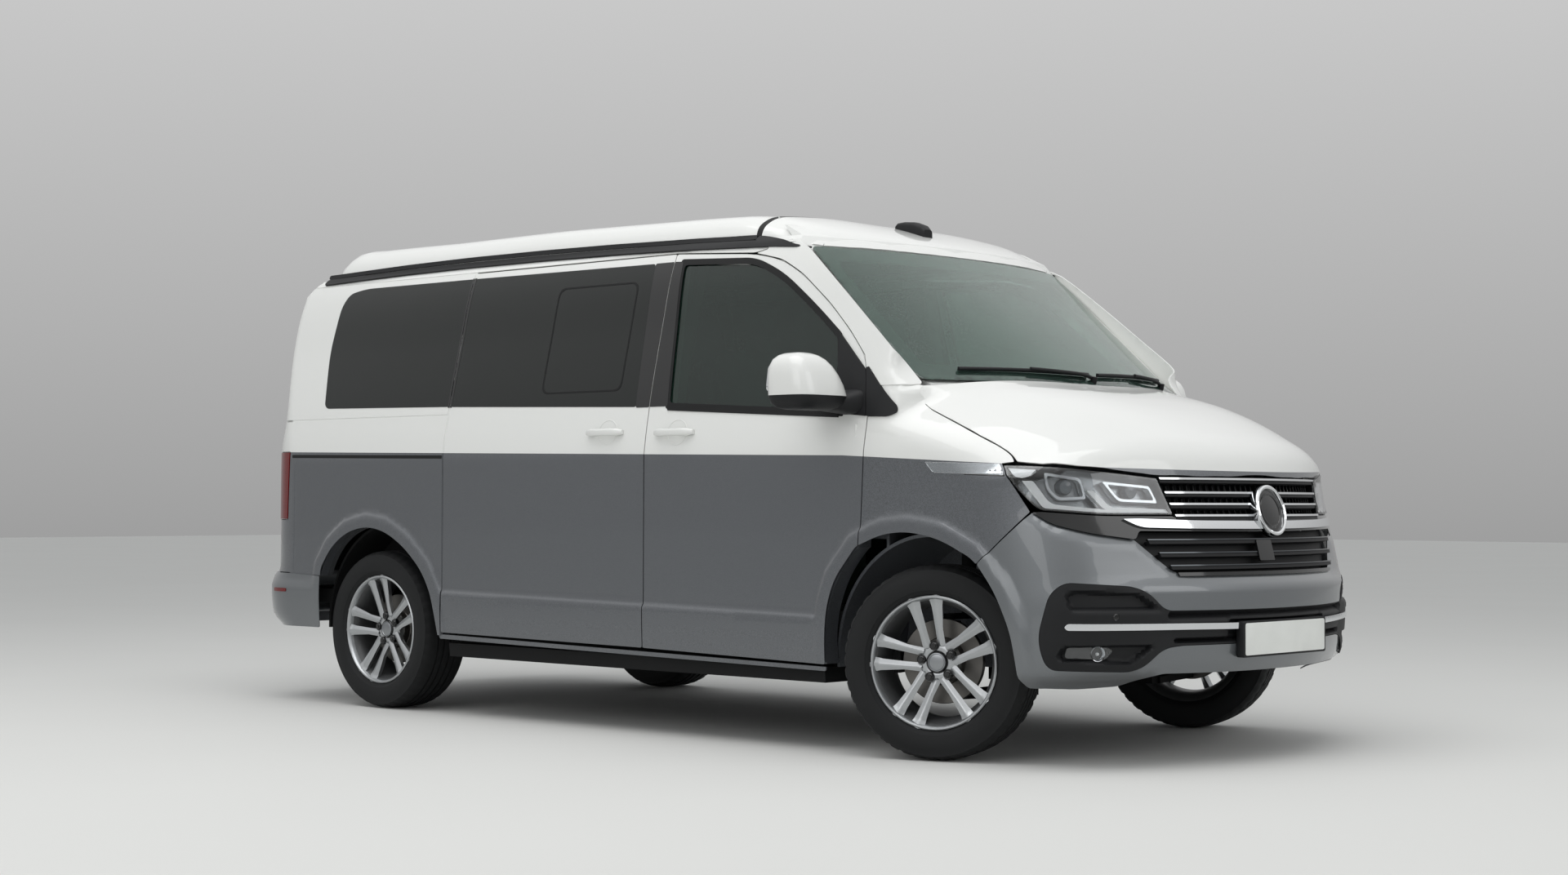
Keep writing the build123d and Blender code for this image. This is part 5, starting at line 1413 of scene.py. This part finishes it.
# ---------------------------------------------------------------- build: wheels
FRONT_AXLE, REAR_AXLE = 1544, -1456
HALF_TRACK, KINGPIN_Y, WHEEL_CENTRE = 816, 750, 338
PARKED_STEER = radians(19.1)
TREAD_STEPS, TREAD_DEPTH = 180, 0.0045            # blocks round the tyre; metres
SPOKE_PAIRS, SPOKE_TURN, BOLT_CIRCLE = 5, 9.6, 57


def wheel_place(x, side, steer):
    """Matrix from wheel space (X outwards) to the wheel's place; side is -1 on the right."""
    place = shift(x, side * HALF_TRACK, WHEEL_CENTRE) @ Matrix.Rotation(side * pi / 2, 4, "Z")
    if steer:
        there, back = shift(FRONT_AXLE, side * KINGPIN_Y, 0), shift(-FRONT_AXLE, -side * KINGPIN_Y, 0)
        place = there @ Matrix.Rotation(PARKED_STEER, 4, "Z") @ back @ place
    return place


# radius, offset outwards from the wheel's middle
SHOULDER = [(220, 88), (229, 92), (234, 99), (241, 106), (247, 109), (249, 112), (262, 116), (282, 117.5),
            (302, 116), (316, 111), (320, 111.5), (326, 103), (331, 94), (334, 84), (336, 70), (337, 60),
            (337, 54), (329.5, 53), (329.5, 44), (337.5, 43), (338, 30), (338, 23),
            (330, 22), (330, 12), (338, 11)]
tyre_rows = SHOULDER + [(r, -off) for r, off in SHOULDER[::-1]]
tyre = turned("road_tyre", tyre_rows, TREAD_STEPS)
for vertex in tyre.data.vertices:
    r = Vector((vertex.co.y, vertex.co.z)).length
    step = int(round((atan2(vertex.co.z, vertex.co.y) / (2 * pi) % 1) * TREAD_STEPS)) % TREAD_STEPS
    off = abs(vertex.co.x) / MM
    shoulder_cut = step % 4 == 0 and 56 < off < 104 and r > 0.318
    middle_cut = step % 6 == 2 and 24 < off < 43 and r > 0.333
    if shoulder_cut or middle_cut:
        vertex.co.y *= (r - TREAD_DEPTH) / r
        vertex.co.z *= (r - TREAD_DEPTH) / r
lip = turned("rim_lip", [(219, 86), (226, 92), (231, 97), (231.5, 101), (228, 103.5), (224, 103), (220, 99),
                         (217, 90), (214, 80), (216, 78), (219, 86)], 96)
barrel = turned("rim_barrel", [(216, 82), (210, 74), (200, 56), (194, 30), (193, -20), (197, -60),
                               (212, -88), (226, -98), (231, -100), (231, -94), (219, -84), (206, -58),
                               (203, 20), (208, 56), (218, 84), (216, 82)], 96)


def dish(points):
    """The wheel's dished face, from flat points on it."""
    r = np.hypot(points[:, 0], points[:, 1])
    out = np.interp(r, (0, 50, 70, 110, 160, 205, 220, 230), (56, 60, 64, 71, 79, 88, 95, 98))
    return np.column_stack((out, points[:, 0], points[:, 1]))


def spoke(lean):
    """One bar of a pair; its face rises to a ridge off its middle."""
    rows = [(-15 + lean * 27, 52), (15 + lean * 26, 52), (14 + lean * 30, 110), (20 + lean * 40, 190),
            (29 + lean * 45, 229, 1), (-28 + lean * 45, 229, 1), (-20 + lean * 40, 190),
            (-14 + lean * 30, 110)]

    def ridge(points, verts):
        middle = lean * (22.5 + 0.098 * points[:, 1])
        half = 12 + 0.045 * points[:, 1]
        across = (points[:, 0] - middle) * lean / half
        rise = np.where(across > -0.1, 1 - (across + 0.1) / 1.1, 1 - (-0.1 - across) / 0.9)
        verts[:, 0] += 8.0 * np.clip(rise, 0, 1) - 4
        return verts
    return panel("spoke", dish, rows, out=(1, 0, 0), step=7, radius=4, wall=26, edge=2.2, shape=ridge)


spokes = [join([spoke(1), spoke(-1)], "spoke_pair")]
for _ in range(1, SPOKE_PAIRS):
    spokes.append(bpy.data.objects.new("spoke_pair", spokes[0].data.copy()))
    bpy.context.scene.collection.objects.link(spokes[-1])
for k, bar in enumerate(spokes):
    moved(bar, Matrix.Rotation(radians(SPOKE_TURN + 360 / SPOKE_PAIRS * k), 4, "X"))
hub = turned("hub_face", [(0, 40), (34, 40), (36, 52), (40, 60), (46, 62), (56, 60), (66, 57), (72, 50),
                          (72, 10), (0, 10)], 60)
alloy_parts = join([lip, hub] + spokes, "alloy_wheel")
bolts = []
for k in range(SPOKE_PAIRS):
    angle = radians(90 + SPOKE_TURN + 360 / SPOKE_PAIRS * k)
    place = shift(0, cos(angle) * BOLT_CIRCLE, sin(angle) * BOLT_CIRCLE)
    bolt = turned("bolt", [(0, 72), (8, 72), (9, 69), (12, 68), (13.5, 66), (13.5, 50), (0, 50)], 18)
    well = turned("well", [(14, 66), (16, 66.5), (17.5, 63), (17.5, 50), (14, 50), (14, 66)], 24)
    bolts += [moved(bolt, place), moved(well, place)]
bolts = join(bolts, "wheel_bolts")
cap = turned("hub_cap", [(0, 68), (18, 67.5), (27, 65.5), (28, 64.5), (29.5, 66.5), (32, 66), (33.5, 62),
                         (33.5, 50), (0, 50)], 48)
cap_ring = turned("hub_cap_ring", [(33.8, 50), (33.8, 63), (36.5, 64.5), (38.5, 62), (38.5, 50), (33.8, 50)],
                  48)
brake = turned("brake_disc", [(60, 26), (78, 26), (80, 14), (82, 2), (84, 0), (146, 0), (148, -2),
                              (148, -22), (146, -24), (70, -24), (60, -24), (60, 26)], 72)
WHEEL_PARTS = ((tyre, tyre_rubber, "tyre", "tyre_"), (alloy_parts, silver_alloy, "alloy", "rim_"),
               (barrel, shaded_barrel_alloy, "alloy", None), (bolts, black_gloss, "black_trim", None),
               (cap, satin_cap, "alloy", None), (cap_ring, black_gloss, "black_trim", None),
               (brake, brake_steel, "chassis_steel", None))
for x, side, end in ((FRONT_AXLE, -1, "front_right"), (FRONT_AXLE, 1, "front_left"),
                     (REAR_AXLE, -1, "rear_right"), (REAR_AXLE, 1, "rear_left")):
    place = wheel_place(x, side, x == FRONT_AXLE)
    for source, material, slot, node in WHEEL_PARTS:
        copy = bpy.data.objects.new(f"{source.name}_{end}", source.data.copy())
        bpy.context.scene.collection.objects.link(copy)
        moved(copy, place)
        dress(copy, f"wheel_{end}", material, slot, *([node + end] if node else []))
for source, *_ in WHEEL_PARTS:
    bpy.data.objects.remove(source)

# ---------------------------------------------------------------- build: fittings
def between_rings(gaps, count):
    """Quads that join each ring of points to the next."""
    faces = []
    for k in range(gaps):
        for i in range(count):
            j = (i + 1) % count
            faces.append((k * count + i, k * count + j, (k + 1) * count + j, (k + 1) * count + i))
    return faces


def loft(name, rings):
    """A closed skin over rings of equal count."""
    count = len(rings[0])
    verts = [p for ring_points in rings for p in ring_points]
    faces = between_rings(len(rings) - 1, count)
    faces += [tuple(range(count))[::-1], tuple((len(rings) - 1) * count + i for i in range(count))]
    piece = make_mesh(name, verts, faces)
    bm = bmesh.new()
    bm.from_mesh(piece.data)
    bmesh.ops.recalc_face_normals(bm, faces=bm.faces)
    bm.to_mesh(piece.data)
    bm.free()
    smooth(piece, 40)
    return piece


def rounded_ring(a0, a1, b0, b1, power, count=40):
    """A superellipse between two limits on each of two axes."""
    turn = np.linspace(0, 2 * pi, count, endpoint=False)
    across, along_it = (np.sign(w) * np.abs(w) ** (2 / power) for w in (np.cos(turn), np.sin(turn)))
    return list(zip((a0 + a1) / 2 + (a1 - a0) / 2 * across, (b0 + b1) / 2 + (b1 - b0) / 2 * along_it))


# height, outer y, inner y, rear x, front x
MIRROR_FORM = [(1211, -1120, -1030, 1160, 1216), (1213, -1165, -1000, 1122, 1236),
               (1220, -1192, -975, 1094, 1256), (1236, -1208, -960, 1078, 1270),
               (1258, -1215, -952, 1071, 1277), (1262, -1215.5, -952, 1070, 1277),
               (1266, -1216, -953, 1070, 1277), (1300, -1216.5, -964, 1070, 1272),
               (1335, -1216, -984, 1072, 1264), (1365, -1212, -1008, 1078, 1254),
               (1388, -1202, -1034, 1090, 1240), (1402, -1188, -1058, 1108, 1224),
               (1410, -1168, -1084, 1128, 1206), (1413, -1142, -1108, 1148, 1190)]
rings = [[(x, y, z) for x, y in rounded_ring(xr, xf, yo, yi, 3.8)] for z, yo, yi, xr, xf in MIRROR_FORM]
upper = loft("mirror_cap", rings[5:])
lower_part = loft("mirror_foot_shell", rings[:6])
right, _ = dress_pair(upper, "mirror_cap", "door_{}", white, "mirror_shell", ["mirror_{}"])
dress_pair(lower_part, "mirror_foot_shell", "door_{}", black_plastic, "black_trim")
# y, rear x, front x, low z, high z
MIRROR_ARM = ((-1040, 1150, 1246, 1213, 1256), (-1000, 1150, 1256, 1209, 1262),
              (-968, 1160, 1272, 1204, 1272), (-944, 1172, 1296, 1200, 1284), (-918, 1180, 1304, 1198, 1290))
rings = [[(x, y, z) for x, z in rounded_ring(x0, x1, z0, z1, 3.4, 28)] for y, x0, x1, z0, z1 in MIRROR_ARM]
dress_pair(loft("mirror_arm", rings), "mirror_arm", "door_{}", black_plastic, "black_trim")
MIRROR_FACE_X = 1067.0
MIRROR_FACE = [(-1186, 1276, 24), (-998, 1276, 20), (-1034, 1350, 24), (-1072, 1378, 30), (-1172, 1378, 30)]
face = panel("mirror_glass", lambda p: np.column_stack((np.full(len(p), MIRROR_FACE_X), p)), MIRROR_FACE,
             out=(-1, 0, 0), step=30, wall=8, edge=2)
dress_pair(face, "mirror_glass", "door_{}", chrome, "mirror_shell")


# share of the bow, half height, room behind the bar
HANDLE_FORM = ((0.35, 9, 0), (0.8, 14, 0), (1, 15, 16), (1.06, 14, 16), (1.1, 13.5, 16), (1.06, 14, 16),
               (1, 15, 16), (0.8, 14, 0), (0.35, 9, 0))


def handle(name, x0, x1, z, bodies, both):
    """A pull handle: a bowed bar on two feet, with the lip of the finger dish."""
    rings = []
    for x, (bow, tall, behind) in zip(np.linspace(x0, x1, len(HANDLE_FORM)), HANDLE_FORM):
        y = on_side(x, z)[1]
        section = rounded_ring(y - 4 - 30 * bow, y - 1 - behind, z - tall, z + tall, 2.8, 24)
        rings.append([(x, b, c) for b, c in section])
    bar = loft(name, rings)
    middle = x0 * 0.45 + x1 * 0.55
    turn = np.linspace(0, 2 * pi, 40, endpoint=False)
    rows, hole = ([(middle + a * cos(t), z + b * sin(t), 0) for t in turn] for a, b in ((54, 50), (49, 45)))
    lip = panel(name + "_dish", ON_SIDE, rows, [hole], out=(0, -1, 0), step=9, wall=1.4, edge=0.6, lift=2.0,
                radius=0)
    for piece, label in ((bar, name), (lip, name + "_dish")):
        if both:
            dress_pair(piece, label, bodies, white, "paint")
        else:
            dress(piece, bodies, white, "paint")


handle("door_handle", 264, 474, 1152, "door_{}", True)
handle("sliding_handle", -116, 87, 1158, "body", False)


def rod(name, spots, radius):
    """A round bar along a smooth line of points in millimetres, as a mesh."""
    line = bpy.data.curves.new(name, "CURVE")
    line.dimensions = "3D"
    line.bevel_depth, line.bevel_resolution, line.use_fill_caps = radius * MM, 3, True
    spline = line.splines.new("NURBS")
    spline.points.add(len(spots) - 1)
    for point, spot in zip(spline.points, spots):
        point.co = (*(float(c) * MM for c in spot), 1)
    spline.order_u, spline.use_endpoint_u, spline.resolution_u = 3, True, 6
    holder = bpy.data.objects.new(name, line)
    mesh = bpy.data.meshes.new_from_object(holder)
    bpy.data.objects.remove(holder)
    piece = bpy.data.objects.new(name, mesh)
    bpy.context.scene.collection.objects.link(piece)
    return piece


# wipers lying along the windscreen's foot
GLASS_OUT = 9                 # the pane's outer face lies this far out from the form
SCREEN_OUT_X, SCREEN_OUT_Z = 0.62, 0.78


def on_screen(y, z, out):
    """A spot this far out from the windscreen, by y and height."""
    x = IN_FRONT(np.array([(y, z)], float))[0][0]
    return (x + (out + GLASS_OUT) * SCREEN_OUT_X, y, z + (out + GLASS_OUT) * SCREEN_OUT_Z)


for tag, y0, y1, z0, z1, root in (("right", -640, -40, 1352, 1350, -30), ("left", 20, 600, 1350, 1356, 560)):
    line = [(y, z0 + (z1 - z0) * k / 8 + 4 * sin(pi * k / 8)) for k, y in enumerate(np.linspace(y0, y1, 9))]
    middle = (y0 + y1) / 2
    arm_line = [on_screen(root, 1336, 4), on_screen(root - 20, 1340, 16),
                on_screen(middle + (root - middle) * 0.5, 1346, 20), on_screen(middle, 1355, 16)]
    wiper = join([rod("blade", [on_screen(*spot, 9) for spot in line], 7),
                  rod("rubber", [on_screen(*spot, 3) for spot in line], 3.5),
                  rod("arm", arm_line, 7),
                  rod("pivot", [on_screen(root, 1330, -6), on_screen(root, 1336, 16)], 13)], f"wiper_{tag}")
    dress(wiper, "body", black_plastic, "black_trim")

# aerial block on the roof cap
AERIAL = [(690, 34, 1962, 1992), (700, 36, 1958, 2001), (730, 36, 1948, 2003), (775, 34, 1936, 1999),
          (815, 30, 1922, 1984), (832, 26, 1916, 1966)]
rings = [[(x, y, z) for y, z in rounded_ring(-w, w, z0, z1, 4, 28)] for x, w, z0, z1 in AERIAL]
dress(loft("aerial_block", rings), "body", black_plastic, "black_trim")

# ---------------------------------------------------------------- build: inside
SIM_FRAMES = 12
MOST_PUFF = 0.016             # metres that a cover may swell


def stuffed(name, size, pinch):
    """Foam under cloth: a rounded block blown up by a short cloth simulation, then smoothed."""
    bpy.ops.mesh.primitive_cube_add(size=1)
    piece = bpy.context.active_object
    piece.name = piece.data.name = name
    piece.data.transform(Matrix.Diagonal((*(s * MM for s in size), 1)))
    bevel = piece.modifiers.new("round", "BEVEL")
    bevel.width, bevel.segments = pinch * MM, 3
    remesh = piece.modifiers.new("even", "REMESH")
    remesh.mode, remesh.voxel_size = "VOXEL", 26 * MM
    apply_modifiers(piece)
    start = np.array([v.co[:] for v in piece.data.vertices])
    cloth_mod = piece.modifiers.new("cloth", "CLOTH")
    cloth_mod.settings.use_pressure = True
    cloth_mod.settings.uniform_pressure_force = 4.0
    cloth_mod.settings.effector_weights.gravity = 0
    cloth_mod.point_cache.frame_end = SIM_FRAMES
    for frame_number in range(1, SIM_FRAMES + 1):
        bpy.context.scene.frame_set(frame_number)
    evaluated = piece.evaluated_get(bpy.context.evaluated_depsgraph_get())
    end = np.array([v.co[:] for v in evaluated.data.vertices])
    piece.modifiers.clear()
    move = end - start
    far = np.linalg.norm(move, axis=1)
    move *= np.minimum(1, MOST_PUFF / np.maximum(far, 1e-9))[:, None]
    for vertex, at in zip(piece.data.vertices, start + move):
        vertex.co = at
    bpy.context.scene.frame_set(1)
    finer = piece.modifiers.new("soft", "SUBSURF")
    finer.levels = finer.render_levels = 1
    apply_modifiers(piece)
    for polygon in piece.data.polygons:
        polygon.use_smooth = True
    return piece


def seat_set(y, width, tag):
    """Cushion, backrest and head restraint of one front seat, on its base."""
    cushion = stuffed("seat_cushion_" + tag, (490, width - 30, 110), 30)
    moved(cushion, Matrix.Rotation(radians(-4), 4, "Y"), shift(556, y, 868))
    back = stuffed("seat_back_" + tag, (95, width - 50, 590), 30)
    moved(back, Matrix.Rotation(radians(-13), 4, "Y"), shift(338, y, 1205))
    head = stuffed("head_rest_" + tag, (70, 230, 150), 24)
    moved(head, Matrix.Rotation(radians(-8), 4, "Y"), shift(270, y, 1605))
    for piece in (cushion, back, head):
        dress(piece, "body", seat_cloth, "seat_cloth")
    posts = [rod("post", [(294, y + s * 60, 1490), (282, y + s * 60, 1560)], 6) for s in (-1, 1)]
    half = width / 2 - 60
    rings = [[(x, b, z) for x, b in rounded_ring(360 + g, 760 - g, y - half + g, y + half - g, 6, 32)]
             for z, g in ((501, 0), (560, 8), (700, 20), (806, 12))]
    dress(loft("seat_base_" + tag, rings), "body", dash_plastic, "dash_plastic")
    dress(join(posts, "head_rest_posts_" + tag), "body", chrome_dark, "chassis_steel")
    return cushion


seat_set(-400, 500, "right")
driver = seat_set(400, 500, "left")
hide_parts("cab_seats")
bench = stuffed("bench_cushion", (560, 990, 112), 30)
moved(bench, shift(-905, -75, 858))
bench_back = stuffed("bench_back", (95, 990, 590), 30)
moved(bench_back, Matrix.Rotation(radians(-10.5), 4, "Y"), shift(-1186, -75, 1208))
for piece in (bench, bench_back):
    dress(piece, "body", seat_cloth, "seat_cloth")
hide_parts("rear_bench")
rings = [[(x, y, z) for x, y in rounded_ring(-1180 + g, -640 - g, -560 + g, 420 - g, 10, 40)]
         for z, g in ((501, 0), (520, 0), (786, 0), (796, 6))]
dress(loft("bench_base", rings), "body", dash_plastic, "dash_plastic")

# steering wheel on its column
wheel_turn = (Matrix.Rotation(radians(28), 4, "Y"), shift(905, 400, 1105))
grip = turned("steering_grip", [(178 + 15 * cos(a), 15 * sin(a)) for a in np.linspace(0, 2 * pi, 15)], 64)
boss = turned("steering_boss", [(0, -26), (34, -24), (50, -14), (54, 4), (46, 24), (30, 30), (26, 110),
                                (26, 215), (0, 215)], 40)
arms = []
for angle in (90, 270, 180):
    rings = [[(x, y, r) for x, y in rounded_ring(-10 + r * 0.03, 10 + r * 0.03, -w, w, 3, 20)]
             for r, w in ((40, 22), (90, 17), (172, 13))]
    arms.append(moved(loft("steering_arm", rings), Matrix.Rotation(radians(angle), 4, "X")))
steering = moved(join([grip, boss] + arms, "steering_wheel_dressed"), *wheel_turn)
dress(steering, "body", dash_plastic, "dash_plastic", "steering_wheel")

# the raised roof's cloth, folded like a bellows between the roof ring and the shell
FOLDS, FOLD_DEPTH = 24, 30
TENT_FOOT, TENT_RISE = 1873.2, 17.4
rim_line = divide(soften([(-1976, -686), (661, -686), (661, 686), (-1976, 686)], 60), 60)
turn_line = np.roll(rim_line, -1, axis=0) - np.roll(rim_line, 1, axis=0)
inward = np.column_stack((-turn_line[:, 1], turn_line[:, 0])) / np.linalg.norm(turn_line, axis=1)[:, None]
verts, count = [], len(rim_line)
for k in range(FOLDS + 1):
    offset = FOLD_DEPTH * (k % 2)
    verts += [(x, y, TENT_FOOT + TENT_RISE * k / FOLDS) for x, y in rim_line + inward * offset]
bellows = make_mesh("tent_bellows", verts, between_rings(FOLDS, count))
smooth(bellows, 20)
bellows.data.materials.append(tent_cloth)
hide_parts("roof_tent")
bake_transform(bellows)


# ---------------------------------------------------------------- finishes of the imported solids
def finish_node(material, *names):
    """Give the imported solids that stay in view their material."""
    for name in names:
        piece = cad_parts[name]
        for slot_index in range(max(1, len(piece.material_slots))):
            if not piece.material_slots:
                piece.data.materials.append(material)
            piece.material_slots[slot_index].material = material


finish_node(two_tone_paint("door_shell", lining=True), "door_right", "door_left", "sliding_door",
            "side_wall_right", "side_wall_left", "tailgate")
finish_node(two_tone_paint("frame_shell", lining=True), "cab_frame", "roof_frame")
finish_node(underbody, "floor_pan", "front_subframe", "rear_axle", "knuckle_right", "knuckle_left",
            "engine_block", "fuel_tank", "exhaust")
finish_node(dash_plastic, "dashboard")
finish_node(laminate, "kitchen_unit")

# ---------------------------------------------------------------- floor, light and world
bpy.ops.mesh.primitive_grid_add(x_subdivisions=8, y_subdivisions=8, size=90)
floor = bpy.context.active_object
floor.name = floor.data.name = "floor"
ground, tree, shader, place = new_material("pale_studio_floor")
tone = add_node(tree, "TexNoise", Vector=place, Scale=0.6, Detail=2.0)
screed = mix_colours(tree, tone.outputs["Fac"], srgb("#DEDEDB"), srgb("#E2E2DF"))
tree.links.new(screed, shader.inputs["Base Color"])
set_shader(shader, Roughness=0.85)
floor.data.materials.append(ground)

world = bpy.data.worlds.new("studio")
bpy.context.scene.world = world
world.use_nodes = True
tree = world.node_tree
seen = add_node(tree, "LightPath")
either = calculate(tree, "MAXIMUM", seen.outputs["Is Camera Ray"], seen.outputs["Is Glossy Ray"])
any_ray = calculate(tree, "MAXIMUM", either, seen.outputs["Is Transmission Ray"])
heading = add_node(tree, "SeparateXYZ", Vector=add_node(tree, "TexCoord").outputs["Generated"])
paler = add_node(tree, "MapRange", _0=heading.outputs["Z"], _1=-0.02, _2=0.6, _3=0.34, _4=1.0)
tree.nodes["Background"].inputs[0].default_value = (0.96, 0.98, 1.0, 1)
tree.nodes["Background"].inputs[1].default_value = 0.5
backdrop = add_node(tree, "Background", Color=paler.outputs[0], Strength=1.0)
both = add_node(tree, "MixShader", _0=any_ray, _1=tree.nodes["Background"].outputs[0], _2=backdrop.outputs[0])
tree.links.new(both.outputs[0], tree.nodes["World Output"].inputs["Surface"])
bpy.context.scene.view_settings.view_transform = "Standard"
add_lamp("overhead_softbox", (1.0, -2.5, 7.5), (0, -0.4, 0.6), (9, 7), 330)
add_lamp("side_softbox", (2.5, -10.5, 4.2), (0.2, 0, 0.9), (8, 4), 120)
add_lamp("front_softbox", (10.5, 1.5, 4.5), (1.5, 0, 0.8), (5, 4), 90)
